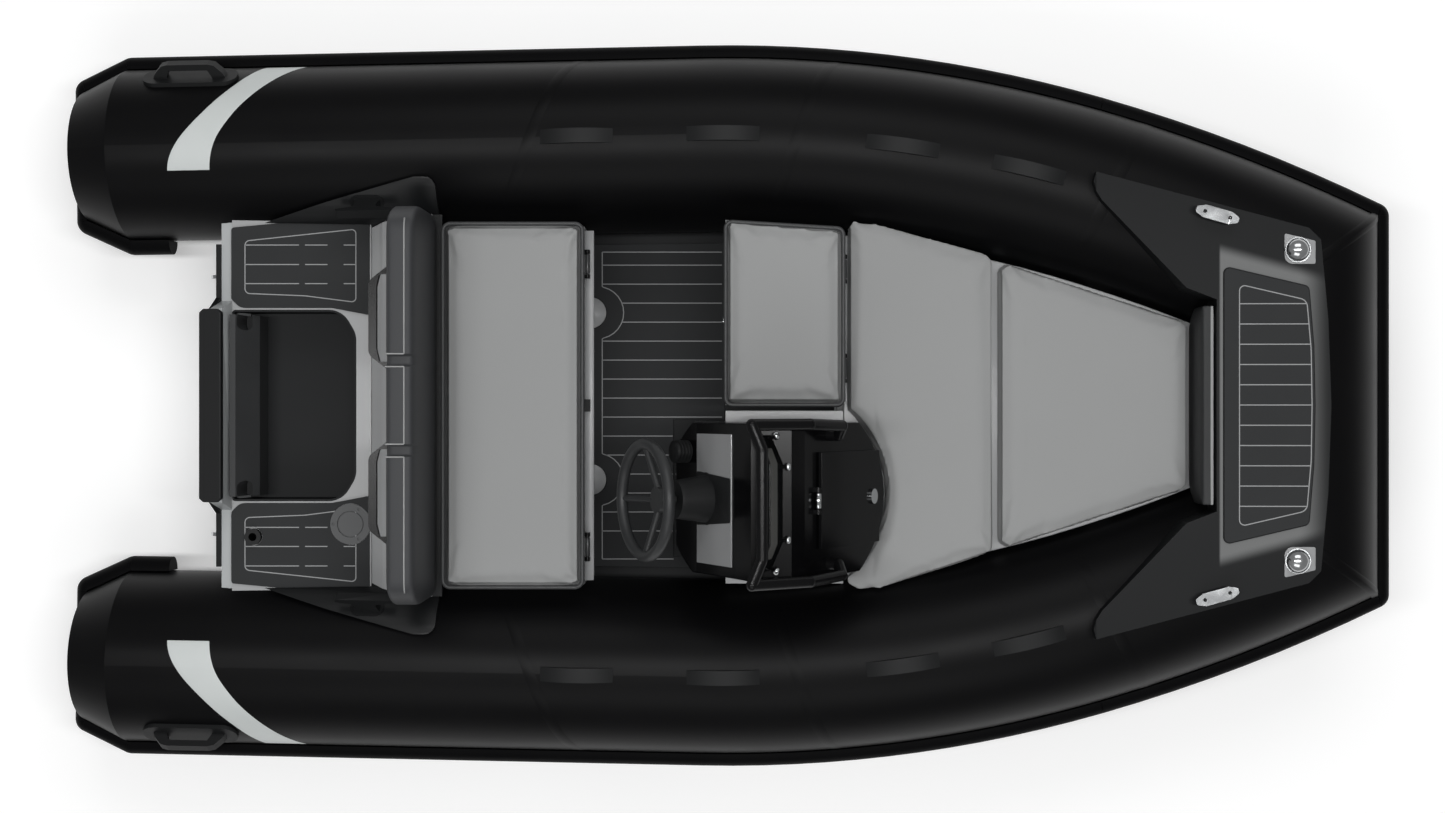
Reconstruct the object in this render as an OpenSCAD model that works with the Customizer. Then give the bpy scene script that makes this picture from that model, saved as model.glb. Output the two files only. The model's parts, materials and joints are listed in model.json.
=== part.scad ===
// Inflatable rib boat with side console, afloat
// Millimetres. +X to the bow, +Y to port, +Z up, origin amidships on the waterline.

/* [Collar] */
// Length over the rubbing strake
loa = 3280; // [3240:10:3340]
// Beam over the rubbing strake
beam = 1800; // [1780:5:1830]
// Diameter of the air tubes
tube_d = 430; // [420:2:440]
// Height of the tube axes above the waterline, amidships
collar_z = 260; // [250:1:270]
// Bow-up pitch of the collar
pitch = 2.5; // [2:0.1:3]
// How far the strake stands out from the tube
strake_w = 35; // [25:1:40]
// Where the sides begin to bend in
bend_x = -50; // [-80:5:-20]
// Toe-in of the tubes towards the stern
toe = 0.77; // [0.5:0.01:1]
// Radius of the midships bend, at the tube axis
bend_r = 3095; // [3050:5:3150]
// Heading of the tubes after the midships bend
bend_a = 16.5; // [16:0.1:17]
// Radius of the forward bend, at the tube axis
bow_bend_r = 3992; // [3900:4:4100]
// Length of the tapered tube ends
cone_l = 111; // [95:1:120]
// Radius of the flat at the tube ends
cone_r = 163; // [155:1:170]

/* [Hull] */
// Depth of the keel below the waterline
draft = 170; // [150:2:190]
// Where the keel begins to rise
rise_x = 400; // [300:10:500]
// How far the stem ends aft of the bow tube's axis
stem_in = 60; // [55:1:75]
// Height of the stem's end
stem_z = 96; // [90:1:98]
// Height of the chine aft
chine_z = 18; // [10:1:24]
// How far the chine lies inside the tube axis
chine_in = 75; // [65:1:85]
// Width of the spray rails and the chine flat
rail_w = 28; // [20:1:34]
// Height of the hull's inner floor
sole_z = 36; // [33:1:38]
// Thickness of the deck plate
plate_t = 4; // [3:0.5:5]
// Thickness of the foam mats
mat_t = 6; // [4:0.5:7]

/* [Transom] */
// Where the transom's outer face meets its top
transom_x = -1250; // [-1254:1:-1246]
// Height of the transom's top
transom_z = 390; // [380:1:396]
// Lean of the transom's top towards the stern
rake = 8; // [6:0.5:10]
// Thickness of the transom plate
transom_t = 30; // [26:1:34]
// Half width of the raised middle
transom_w = 250; // [240:1:255]
// Height of the transom beside the raised middle
wing_top_z = 318; // [305:1:322]
// Bore of the towing eyes
eye_d = 22; // [16:1:24]

/* [Stern deck] */
// Height of the side steps
step_z = 330; // [324:1:336]
// Forward end of the side steps
step_x = -868; // [-875:1:-862]
// Half width of the motor well
well_w = 236; // [225:1:240]
// Height of the motor well's floor
well_z = 200; // [180:2:230]
// Bore of the pole socket
socket_d = 20; // [16:0.5:22]
// Diameter of the filler's flange
filler_d = 100; // [90:1:104]

/* [Bench] */
// Forward face of the bench
bench_x = -340; // [-344:1:-336]
// Depth of the bench, fore and aft
bench_l = 346; // [340:1:350]
// How far the bench reaches past the tubes' inner sides
bench_tuck = 3; // [0:1:5]
// Height of the bench box
bench_z = 372; // [366:1:376]
// Thickness of the lids
lid_t = 14; // [12:1:16]
// Thickness of the bench cushion
pad_t = 64; // [58:1:66]
// Height of the backrest's top
back_z = 750; // [730:5:770]
// Thickness of the backrest
back_t = 70; // [60:1:74]

/* [Port seat] */
// Height of the port seat's box
seat_z = 412; // [410:1:418]
// Aft face of the port seat
seat_x = 5; // [0:1:10]
// Forward edge of the port seat
seat_fore_x = 286; // [282:1:287]
// Thickness of the port seat's cushion
seat_pad_t = 66; // [58:1:70]

/* [Bow] */
// Aft face of the bow locker
locker_x = 299; // [298:1:303]
// Height of the locker's top above the tube axes
locker_h = 72; // [66:1:74]
// Depth of the locker below the tube axes
locker_d = 80; // [70:1:82]
// Thickness of the sunpads
sun_t = 60; // [54:1:62]
// Where the two sunpads meet
pad_split = 668; // [660:1:676]
// Height of the nose moulding's top above the tube axes
nose_h = 250; // [244:1:256]
// How far the nose moulding's bridge reaches aft of the bow tube's axis
nose_l = 219; // [214:1:221]

/* [Console] */
// Centre of the console, starboard of the keel
console_y = -215; // [-218:1:-212]
// Width of the console
console_w = 350; // [340:2:356]
// Height of the console's brow
brow_z = 846; // [836:2:856]
// Lean of the dash and the wheel's axis
dash_a = 27; // [25:0.5:29]
// Diameter of the steering wheel
wheel_d = 281; // [270:1:286]
// Thickness of the wheel's rim
rim_d = 26; // [18:1:28]
// Thickness of the console rail's tube
rail_d = 26; // [22:1:28]
// Walls of the hollow boxes
wall = 10; // [8:1:12]

/* [Clearances] */
// Gap between curved faces that seat on each other
seat_gap = 0.4; // [0.3:0.1:0.8]
// Extra gap at the bow tube, beyond its mitres
mitre_gap = 3; // [2.5:0.5:4]
// Gap round hinge pins
pin_gap = 0.2; // [0.15:0.05:0.3]
// Gap between lids and the parts beside them
lid_gap = 6; // [5:0.5:8]
// Diameter of the hinge pins
pin_d = 6; // [5:0.5:7]

/* [Hidden] */
$fn = 64;
eps = 0.5;
far = 4000;
tube_r = tube_d / 2;
half_y = beam / 2 - strake_w - tube_r;
end_x = -loa / 2 + strake_w;
bow_x = loa / 2 - strake_w - tube_r;
nose_x = bow_x - nose_l;
stem_x = bow_x - stem_in;
// Bends of the port tube's axis in plan: start of the bend, centres and ends
p1 = [bend_x, half_y];
c1 = p1 + bend_r * [sin(toe), -cos(toe)];
p2 = c1 + bend_r * [sin(bend_a), cos(bend_a)];
c2 = p2 - bow_bend_r * [sin(bend_a), cos(bend_a)];
bow_a = asin((bow_x - c2.x) / bow_bend_r);
corner = c2 + bow_bend_r * [sin(bow_a), cos(bow_a)];
mitre_a = -(90 + bow_a) / 2;
aft_l = (bend_x - end_x) / cos(toe);
deck_z = sole_z + plate_t;
// Half the clear width between the tubes aft
clear_y = half_y - tube_r;
bench_w = clear_y + bench_tuck;
// Hinge axes: [x, z]
bench_pin = [bench_x + 8, bench_z + 8];
seat_pin = [seat_fore_x + 7, seat_z + 8];
// Console side profile: dash foot, dash head, top of the front slope and its foot
dash_l = 195;
dash_foot = [-63, 600];
dash_head = dash_foot + dash_l * [sin(dash_a), cos(dash_a)];
slope_top = [181, 800];
slope_foot = [387, 430];
slope_a = atan2(slope_top.y - slope_foot.y, slope_foot.x - slope_top.x);
console_x = -126;
wheel_r = wheel_d / 2;
wheel_at = [-178, console_y, 720];
dash_reach = (dash_foot.x - wheel_at.x) * cos(dash_a) + (wheel_at.z - dash_foot.y) * sin(dash_a);

// Heights and widths along the collar, in the collar's own plane
function axis_y(x) = x < p1.x ? p1.y - (p1.x - x) * tan(toe)
  : x < p2.x ? c1.y + sqrt(bend_r * bend_r - (x - c1.x) * (x - c1.x))
  : c2.y + sqrt(bow_bend_r * bow_bend_r - (x - c2.x) * (x - c2.x));
function head(x) = x < p1.x ? -toe
  : x < p2.x ? asin((x - c1.x) / bend_r)
  : asin((x - c2.x) / bow_bend_r);
function inside_y(x, d) = axis_y(x) - d / cos(head(x));
function axis_z(x) = collar_z + x * tan(pitch);

// A polygon with its corners rounded, n steps to a corner
function rounded(p, r, n = 5) = [for (i = [0:len(p) - 1])
  let (
    a = p[(i + len(p) - 1) % len(p)] - p[i],
    b = p[(i + 1) % len(p)] - p[i],
    u = a / norm(a),
    v = b / norm(b),
    h = acos(max(-1, min(1, u * v))) / 2,
    q = is_list(r) ? r[i] : r,
    s = min(q, 0.48 * min(norm(a), norm(b)) * tan(h)),
    flat = h > 89.5 || s < 0.01,
    c = flat ? p[i] : p[i] + (u + v) / norm(u + v) * s / sin(h),
    f = p[i] + u * s / tan(max(h, 1)) - c,
    g = p[i] + v * s / tan(max(h, 1)) - c,
    t = atan2(f.y, f.x),
    d = atan2(f.x * g.y - f.y * g.x, f * g)
  ) each flat ? [p[i]] : [for (k = [0:n]) c + s * [cos(t + d * k / n), sin(t + d * k / n)]]];
// A half outline with its mirror image across the keel
function both_sides(p) = concat(p, [for (i = [len(p) - 1:-1:0]) [p[i].x, -p[i].y]]);

module mirrored() {
  children();
  mirror([0, 1, 0]) children();
}

// The collar's plane: its z = 0 holds the tube axes
module collar() {
  translate([0, 0, collar_z]) rotate([0, -pitch, 0]) children();
}

// The transom's plane: its x = 0 is the outer face, its z = 0 the top edge
module raked() {
  translate([transom_x, 0, transom_z]) rotate([0, -rake, 0]) children();
}

// A profile drawn as [outward, up], run straight from p on heading a
module run(p, a, l) {
  translate([p.x, p.y, 0]) rotate([0, 0, a]) rotate([90, 0, 90]) linear_extrude(l) children();
}

// The same profile turned about c, from position angle a0 to a1
module bend(c, r, a0, a1) {
  translate([c.x, c.y, 0]) rotate([0, 0, 90 - a1]) rotate_extrude(angle = a1 - a0, $fn = 256)
    translate([r, 0]) children();
}

// Half space past the mitre between the port tube and the bow tube, d beyond it
module past_mitre(d = 0) {
  translate([corner.x, corner.y, 0]) rotate([0, 0, mitre_a]) translate([d, -far / 2, -far / 2])
    cube(far);
}

// The port side's chambers, grown by g
module aft_chamber(g = 0) {
  translate([p1.x, p1.y, 0]) rotate([0, 0, toe]) rotate([0, -90, 0]) rotate_extrude()
    polygon([[0, -g], [tube_r + g, -g], [tube_r + g, aft_l - cone_l], [cone_r + g, aft_l + g], [0,
      aft_l + g]]);
}

module mid_chamber(g = 0) {
  bend(c1, bend_r, -toe, bend_a) circle(tube_r + g);
}

module fore_chamber(g = 0) {
  difference() {
    bend(c2, bow_bend_r, bend_a, bow_a + 4) circle(tube_r + g);
    past_mitre();
  }
}

module bow_chamber(g = 0) {
  intersection() {
    translate([bow_x, 0, 0]) rotate([90, 0, 0]) cylinder(h = 1400, r = tube_r + g, center = true);
    past_mitre(tuck);
    mirror([0, 1, 0]) past_mitre(tuck);
  }
}

// Room for the tubes, to be cut from the parts that seat on them
module aft_room(g = seat_gap) {
  collar() mirrored() aft_chamber(g);
}

module mid_room(g = seat_gap) {
  collar() mirrored() mid_chamber(g);
}

module fore_room(g = seat_gap) {
  collar() mirrored() fore_chamber(g);
}

module bow_room(g = seat_gap) {
  collar() bow_chamber(g);
}

module tube_aft_port() {
  color("#1c1d1f") collar() aft_chamber();
}

module tube_aft_starboard() {
  mirror([0, 1, 0]) tube_aft_port();
}

module tube_mid_port() {
  color("#1c1d1f") collar() mid_chamber();
}

module tube_mid_starboard() {
  mirror([0, 1, 0]) tube_mid_port();
}

module tube_fore_port() {
  color("#1c1d1f") collar() fore_chamber();
}

module tube_fore_starboard() {
  mirror([0, 1, 0]) tube_fore_port();
}

module tube_bow() {
  color("#1c1d1f") collar() bow_chamber();
}

// Rubbing strake: half round, its flat back on the tube's equator
module half_round() {
  intersection() {
    circle(strake_w - seat_gap);
    translate([0, -strake_w]) square(2 * strake_w);
  }
}

// Quarter turns of the strake at its corners, with the turn starting at heading a
module elbow(p, a, turn) {
  translate([p.x, p.y, 0]) rotate([0, 0, a + 90 - turn]) rotate_extrude(angle = turn) half_round();
}

side_back = tube_r + seat_gap;
cone_a = atan2(tube_r - cone_r, cone_l);
// Strake outline round the port tube's end, in the tube's own plan, aft along -x
end_pts = [[-(aft_l - cone_l), side_back], [-aft_l - seat_gap, cone_r + seat_gap],
  [-aft_l - seat_gap, -cone_r - seat_gap], [-(aft_l - cone_l), -side_back]];
inner_l = 98;
bow_back = bow_x + side_back;
bow_back_a = asin((bow_back - c2.x) / (bow_bend_r + side_back));
bow_back_y = c2.y + (bow_bend_r + side_back) * cos(bow_back_a);
joint_a = 0.02;
joint = 0.3;
tuck = 4;

// Strake from p to q in plan, its outer side on the left
module strake_run(p, q) {
  v = q - p;
  run(p + joint * v / norm(v), atan2(v.y, v.x), norm(v) - 2 * joint) half_round();
}

module strake_aft() {
  translate([p1.x, p1.y, 0]) rotate([0, 0, toe]) {
    strake_run(end_pts[0], [0, side_back]);
    elbow(end_pts[0], cone_a, cone_a);
    strake_run(end_pts[1], end_pts[0]);
    elbow(end_pts[1], 90, 90 - cone_a);
    strake_run(end_pts[2], end_pts[1]);
    elbow(end_pts[2], 180 - cone_a, 90 - cone_a);
    strake_run(end_pts[3], end_pts[2]);
    elbow(end_pts[3], 180, cone_a);
    strake_run(end_pts[3] + [inner_l, 0], end_pts[3]);
  }
}

module strake_fore() {
  bend(c1, bend_r, -toe, bend_a - joint_a) translate([side_back, 0]) half_round();
  bend(c2, bow_bend_r, bend_a, bow_back_a - joint_a) translate([side_back, 0]) half_round();
}

module strake_port() {
  color("#26282a") collar() {
    strake_aft();
    strake_fore();
  }
}

module strake_starboard() {
  mirror([0, 1, 0]) strake_port();
}

module strake_bow() {
  color("#26282a") collar() {
    strake_run([bow_back, bow_back_y], [bow_back, -bow_back_y]);
    elbow([bow_back, bow_back_y], -bow_back_a, 90 - bow_back_a);
    mirror([0, 1, 0]) elbow([bow_back, bow_back_y], -bow_back_a, 90 - bow_back_a);
  }
}

// Hull: sections lofted from the transom to the stem
function keel(x) = x < rise_x ? -draft
  : -draft + (stem_z + draft) * pow((x - rise_x) / (stem_x - rise_x), 2.2);
function chine_y(x) = (axis_y(x) - chine_in) * (1 - 0.985 * pow(max(0, x) / stem_x, 6));
// Height of the tubes' underside, and of the hull's sides below it
function under(x, y) = let (o = (axis_y(x) - y) * cos(head(x)))
  axis_z(x) - sqrt(max(0, tube_r * tube_r - o * o));
function bow_under(x) = axis_z(x) - sqrt(max(0, tube_r * tube_r - (x - bow_x) * (x - bow_x)));
function side_top(x) = min(under(x, chine_y(x)) - tuck, bow_under(x) - tuck, axis_z(x) - 85);
function chine_h(x) = min(chine_z + (stem_z + 18 - chine_z) * pow(max(0, x) / stem_x, 2.2),
  side_top(x) - 3);
function section(x) = let (
    k = keel(x),
    c = chine_y(x),
    s = (chine_h(x) - k) / c,
    w = min(rail_w, 0.09 * c),
    f = min(10, 0.15 * c),
    a = 0.36 * c,
    b = 0.68 * c,
    t = side_top(x),
    z = max(sole_z, t),
    d = axis_z(x) - z - tuck,
    y = axis_y(x) - sqrt(max(0, tube_r * tube_r - d * d)) / cos(head(x))
  ) [[f, k], [a, k + s * a], [a + w, k + s * a], [a + w, k + s * (a + w)], [b, k + s * b],
    [b + w, k + s * b], [b + w, k + s * (b + w)], [c - w, k + s * (c - w)], [c, k + s * (c - w)],
    [c, t], [min(0.9 * c, y), z]];
stations = concat([-1320, -1100, -900, -680, -450, -250, bend_x, 140, 300],
  [for (k = [0.03, 0.15, 0.28, 0.41, 0.53, 0.64]) rise_x + k * (stem_x - rise_x)],
  [for (d = [250, 220, 190, 170, 135, 100, 70, 40, 20, 0]) stem_x - d]);
rib = len(section(0)) * 2;

module hull_blank() {
  points = [for (x = stations) let (s = section(x))
    each concat([for (p = s) [x, p.x, p.y]], [for (i = [len(s) - 1:-1:0]) [x, -s[i].x, s[i].y]])];
  last = (len(stations) - 1) * rib;
  faces = concat(
    [[for (i = [0:rib - 1]) i]],
    [[for (i = [rib - 1:-1:0]) last + i]],
    [for (s = [0:len(stations) - 2], i = [0:rib - 1]) let (a = s * rib + i, b = s * rib + (i + 1) % rib)
      each [[a, a + rib, b], [b, a + rib, b + rib]]]);
  polyhedron(points, faces);
}

// Space between the tubes, in plan, kept d inside them
function between(x0, x1, d, n = 12) = both_sides([for (i = [0:n]) let (x = x0 + (x1 - x0) * i / n)
  [x, inside_y(x, tube_r + d)]]);

module hull() {
  color("#b9bcbd") difference() {
    hull_blank();
    raked() translate([transom_t - far, -far / 2, -far / 2]) cube(far);
    translate([-far / 2, -far / 2, sole_z]) cube([far / 2 + locker_x - 4, far, far]);
    translate([stem_x - 130, -eye_t / 2 - 0.1, -eye_tail.y / 2 + eye_at.z]) cube([200, eye_t + 0.2,
      eye_tail.y]);
  }
}

eye_t = 9;
eye_at = [stem_x + 22, 0, 74];
eye_tail = [110, 30];

// A lug in the x-z plane, its eye at the origin and its tail to the point t
module lug(t) {
  rotate([90, 0, 0]) translate([0, 0, -eye_t / 2]) linear_extrude(eye_t) difference() {
    union() {
      circle(eye_d / 2 + 12);
      translate([min(0, t.x), -t.y / 2]) square([abs(t.x), t.y]);
    }
    circle(eye_d / 2);
  }
}

module towing_eyes() {
  color("#c8cccf") {
    translate(eye_at) lug([-eye_tail.x, eye_tail.y - 0.2]);
    mirrored() raked() translate([-34, 322, -150]) lug([34, eye_d + 24]);
  }
}

module deck_plate() {
  color("#a9adae") translate([0, 0, sole_z]) linear_extrude(plate_t)
    polygon(between(-1150, locker_x - 10, -30));
}

// Half-round scallops in the floor at the foot of the bench
scallops = [[242, 42], [-193, 42]];

module floor_mat() {
  color("#46484a") translate([0, 0, deck_z]) linear_extrude(mat_t) difference() {
    polygon(between(bench_x + 2, seat_x - 2, 12, 4));
    for (s = scallops) translate([bench_x - 7, s.x]) circle(s.y);
    polygon([[console_x - 4, console_y - console_w / 2 - 4], [console_x - 4, console_y + console_w / 2 + 4],
      [60, console_y + console_w / 2 + 4], [60, console_y - console_w / 2 - 4]]);
  }
}

module transom() {
  top = wing_top_z - transom_z;
  side = half_y - 90;
  v = chine_h(-1200) - transom_z;
  color("#a9adae") difference() {
    raked() rotate([90, 0, 90]) linear_extrude(transom_t)
      polygon([[0, -draft - transom_z], [chine_y(-1200), v], [side, v + 30], [side, top],
        [transom_w + 8, top], [transom_w - 14, 0], [14 - transom_w, 0], [-transom_w - 8, top],
        [-side, top], [-side, v + 30], [-chine_y(-1200), v]]);
    aft_room(1);
  }
}

module clamp_pad() {
  color("#17181a") raked() translate([-20, 0, 0]) rotate([90, 0, 90]) linear_extrude(20)
    polygon(rounded([[208, -190], [208, -4], [-208, -4], [-208, -190]], [40, 8, 8, 40]));
}

module transom_trim() {
  color("#17181a") mirrored() raked() translate([-12, 0, 0]) rotate([90, 0, 90]) linear_extrude(12)
    polygon([[214, -96], [398, -96], [398, -66], [transom_w + 16, -66], [228, -6], [214, -6]]);
}

module transom_cap() {
  color("#17181a") raked() translate([-22, 0, 0]) linear_extrude(18)
    polygon([[0, -226], [0, 226], [10, 235], [44, 235], [56, 226], [56, -226], [44, -235], [10, -235]]);
}

// Sloped ledge inside the transom, with two oval drain wells
ledge = [-1207, -1150];

module well_ledge() {
  color("#2b2d2f") difference() {
    rotate([90, 0, 0]) linear_extrude(2 * well_w - 26, center = true)
      polygon([[ledge.x, well_z + 6], [ledge.x, 372], [ledge.x + 14, 372], [ledge.y, 300], [ledge.y,
        well_z + 6]]);
    raked() translate([transom_t - far, -far / 2, -far / 2]) cube(far);
    mirrored() translate([(ledge.x + ledge.y) / 2 + 2, 215, 262]) {
      cylinder(h = 200, r = 14);
      translate([0, -16, 0]) cylinder(h = 200, r = 14);
      translate([-14, -16, 0]) cube([28, 16, 200]);
    }
  }
}

// Outline of the motor well
well_pts = [[-1212, -well_w], [-940, -well_w], [-905, -well_w + 60], [-905, well_w - 60],
  [-940, well_w], [-1212, well_w]];

module well_shape(d) {
  offset(delta = -d) polygon(rounded(well_pts, [10, 90, 60, 60, 90, 10], 6));
}

module well_tray() {
  color("#4a4c4e") difference() {
    translate([0, 0, well_z]) linear_extrude(step_z - well_z) well_shape(0.2);
    translate([0, 0, well_z + 6]) linear_extrude(step_z) well_shape(5);
    raked() translate([transom_t - far, -far / 2, -far / 2]) cube(far);
  }
}

module aft_deck() {
  color("#a9adae") difference() {
    translate([-1300, 90 - half_y, deck_z]) linear_extrude(step_z - deck_z) square([step_x + 1300,
      2 * half_y - 180]);
    translate([0, 0, well_z]) linear_extrude(far) polygon(rounded(well_pts, [10, 90, 60, 60, 90, 10], 6));
    raked() translate([transom_t - far, -far / 2, -far / 2]) cube(far);
    aft_room(1);
    translate([socket_at.x, socket_at.y, step_z - 70]) cylinder(h = 80, r = socket_d / 2 + 4 + seat_gap);
    translate([filler_at.x, filler_at.y, step_z - 30]) cylinder(h = 40, r = filler_d / 2 - 12 + seat_gap);
  }
}

socket_at = [-1157, -323];
filler_at = [-918, -292];

// Outline of the port step's mat
step_pts = [[-1212, clear_y + 3], [-1212, well_w + 26], [-1190, well_w + tuck], [-965, well_w + tuck],
  [step_x - 22, well_w - 10], [step_x - 4, well_w - 14], [step_x - 4, clear_y + 35]];

module step_mats() {
  color("#46484a") difference() {
    mirrored() translate([0, 0, step_z]) linear_extrude(mat_t) polygon(rounded(step_pts, [8, 8, 30, 40,
      20, 6, 6]));
    aft_room(3);
    translate([socket_at.x, socket_at.y, step_z - eps]) cylinder(h = 20, r = socket_d / 2 + 12);
    translate([filler_at.x, filler_at.y, step_z - eps]) cylinder(h = 20, r = filler_d / 2 + 1);
  }
}

module filler_cap() {
  color("#17181a") translate([filler_at.x, filler_at.y, step_z]) {
    difference() {
      cylinder(h = mat_t + 2, r = filler_d / 2);
      translate([0, 0, 3]) difference() {
        cylinder(h = 20, r = filler_d / 2 - 17);
        cylinder(h = mat_t - 2, r = filler_d / 2 - 20);
      }
      for (i = [0:2]) rotate([0, 0, 60 + 120 * i]) translate([filler_d / 2 - 8, 0, 5]) cylinder(h = 20,
        r = 4);
    }
    translate([0, 0, -29]) cylinder(h = 29, r = filler_d / 2 - 12);
  }
}

module pole_socket() {
  color("#c8cccf") translate([socket_at.x, socket_at.y, step_z]) difference() {
    union() {
      cylinder(h = mat_t + 12, r = socket_d / 2 + 10);
      translate([0, 0, -69]) cylinder(h = 69, r = socket_d / 2 + 4);
    }
    translate([0, 0, -60]) cylinder(h = 200, r = socket_d / 2);
  }
}

// Soft handles along the crest of the tubes: stations in plan
handles = [-344, 8, 437, 736];
strap = [175, 35, 7];
strap_rise = 22;

module soft_handle() {
  r = (strap.x * strap.x / 4 + strap_rise * strap_rise) / (2 * strap_rise);
  translate([0, 0, tube_r + seat_gap]) rotate([90, 0, 0]) linear_extrude(strap.y, center = true)
    intersection() {
      translate([0, strap_rise - r]) difference() {
        circle(r, $fn = 128);
        circle(r - strap.z, $fn = 128);
      }
      translate([-strap.x, 0]) square([2 * strap.x, 100]);
    }
}

module soft_handles() {
  color("#17181a") collar() mirrored() for (x = handles)
    translate([x, axis_y(x), 0]) rotate([0, 0, -head(x)]) soft_handle();
}

// Lifting handles on the outer shoulders of the tubes aft
lift_at = [end_x + 300, -53];
lift_l = 235;

module lift_handles() {
  color("#17181a") collar() mirrored() translate([lift_at.x, axis_y(lift_at.x), 0]) rotate([0, 0, toe])
    rotate([lift_at.y, 0, 0]) {
      difference() {
        translate([0, 0, tube_r - 12]) linear_extrude(20)
          polygon(rounded([[-lift_l / 2, -36], [lift_l / 2, -36], [lift_l / 2, 36], [-lift_l / 2, 36]],
            35, 8));
        rotate([0, 90, 0]) cylinder(h = 600, r = tube_r + seat_gap, center = true);
      }
      translate([0, 0, tube_r + 6]) rotate([90, 0, 0]) linear_extrude(24, center = true)
        polygon([[-90, 0], [-58, 0], [-48, 22], [48, 22], [58, 0], [90, 0], [84, 14], [66, 34], [50,
          38], [-50, 38], [-66, 34], [-84, 14]]);
    }
}

// Carrying handle on the bow, below the strake
grip_a = 24;
grip_l = 187;

module bow_handle() {
  color("#17181a") collar() translate([bow_x, 0, 0]) rotate([0, grip_a, 0]) difference() {
    linear_extrude(30, center = true)
      polygon(rounded([[tube_r - 20, grip_l / 2], [tube_r + 20, grip_l / 2], [tube_r + 82, grip_l / 2 - 34],
        [tube_r + 82, 34 - grip_l / 2], [tube_r + 20, -grip_l / 2], [tube_r - 20, -grip_l / 2],
        [tube_r - 20, 52 - grip_l / 2], [tube_r + 66, 52 - grip_l / 2], [tube_r + 66, grip_l / 2 - 52],
        [tube_r - 20, grip_l / 2 - 52]], [0, 30, 24, 24, 30, 0, 0, 18, 18, 0], 4));
    rotate([90, 0, 0]) cylinder(h = 600, r = tube_r + seat_gap, center = true);
  }
}

// Wings that fair the stern deck onto the tubes
wing_in = half_y - 320;
wing_pts = [[-1223, wing_in], [-1223, half_y - 226], [-1120, half_y - 200], [-960, half_y - 155],
  [-740, half_y - 98],
  [-689, half_y - 98], [-689, wing_in]];

module aft_wings() {
  color("#3a3c3e") mirrored() difference() {
    collar() intersection() {
      translate([p1.x, p1.y, 0]) rotate([0, 0, toe]) rotate([0, -90, 0]) difference() {
        cylinder(h = aft_l, r = tube_r + 12);
        translate([0, 0, -1]) cylinder(h = aft_l + 2, r = tube_r + seat_gap);
      }
      translate([0, 0, 84]) linear_extrude(300) polygon(rounded(wing_pts, [0, 30, 60, 60, 60, 30, 0]));
    }
    translate([-2000, -1, 0]) cube([2000 + step_x + 1, 2000, step_z + mat_t + 4]);
  }
}

// Horn cleats on the wings: middle of each in plan
cleat_x = -862;

module horn_cleat(l, h, t) {
  rotate([90, 0, 0]) linear_extrude(t, center = true)
    polygon(rounded([[-0.24 * l, 0], [0.24 * l, 0], [0.17 * l, 0.62 * h], [0.5 * l, 0.8 * h], [0.5 * l, h],
      [-0.5 * l, h], [-0.5 * l, 0.8 * h], [-0.17 * l, 0.62 * h]], [2, 2, 8, 4, 5, 5, 4, 8], 4));
  linear_extrude(5) polygon(rounded([[-0.3 * l, -t], [0.3 * l, -t], [0.3 * l, t], [-0.3 * l, t]],
    t - 1, 4));
}

// Cleat with a flat top of length l and width w on a short pedestal
module flat_cleat(l, w, h) {
  linear_extrude(h - 4)
    polygon(rounded([[-0.28 * l, -0.32 * w], [0.28 * l, -0.32 * w], [0.28 * l, 0.32 * w], [-0.28 * l,
      0.32 * w]], 6, 4));
  translate([0, 0, h - 9]) linear_extrude(9)
    polygon(rounded([[-0.5 * l, -0.22 * w], [-0.3 * l, -0.5 * w], [0.3 * l, -0.5 * w], [0.5 * l, -0.22 * w],
      [0.5 * l, 0.22 * w], [0.3 * l, 0.5 * w], [-0.3 * l, 0.5 * w], [-0.5 * l, 0.22 * w]], 5, 3));
}

module aft_cleats() {
  color("#17181a") collar() mirrored() translate([cleat_x, axis_y(cleat_x), 0]) rotate([0, 0, toe])
    rotate([40, 0, 0]) difference() {
      translate([0, 0, tube_r + 10]) horn_cleat(140, 52, 22);
      rotate([0, 90, 0]) cylinder(h = 600, r = tube_r + 12 + seat_gap, center = true);
    }
}

// Bench: a hollow box, its lid turning on two hinges along the front
hinge_y = bench_w - 93;
hinge_l = 70;
barrel_d = pin_d + 6;

// Pin and ears of the fixed side, axis along y: each ear is [back, front, drop] from the axis
module hinge_ears(l, ear) {
  rotate([90, 0, 0]) cylinder(h = l, d = pin_d, center = true);
  for (s = [-1, 1]) translate([0, s * (l / 2 - 5), 0]) {
    rotate([90, 0, 0]) cylinder(h = 10, d = barrel_d, center = true);
    translate([-ear.x, -5, -ear.z]) cube([ear.x + ear.y, 10, ear.z]);
  }
}

// Barrel on the moving side
module hinge_barrel(l) {
  rotate([90, 0, 0]) cylinder(h = l - 21, d = barrel_d, center = true);
}

module hinge_bore(l) {
  rotate([90, 0, 0]) cylinder(h = l + 2, d = pin_d + 2 * pin_gap, center = true);
}

bench_aft = bench_x - bench_l;

module bench_box() {
  color("#a9adae") {
    difference() {
      translate([bench_aft, -bench_w, deck_z]) cube([bench_l, 2 * bench_w, bench_z - deck_z]);
      translate([bench_aft + wall, -bench_w + 60, deck_z + wall]) cube([bench_l - 2 * wall,
        2 * bench_w - 120, far]);
      aft_room(1);
    }
  }
}

// Room in the lid for the ears
module hinge_notches(l) {
  for (t = [-1, 1]) translate([-16, t * (l / 2 - 5) - 7, -20]) cube([40, 14, 40]);
}

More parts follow.
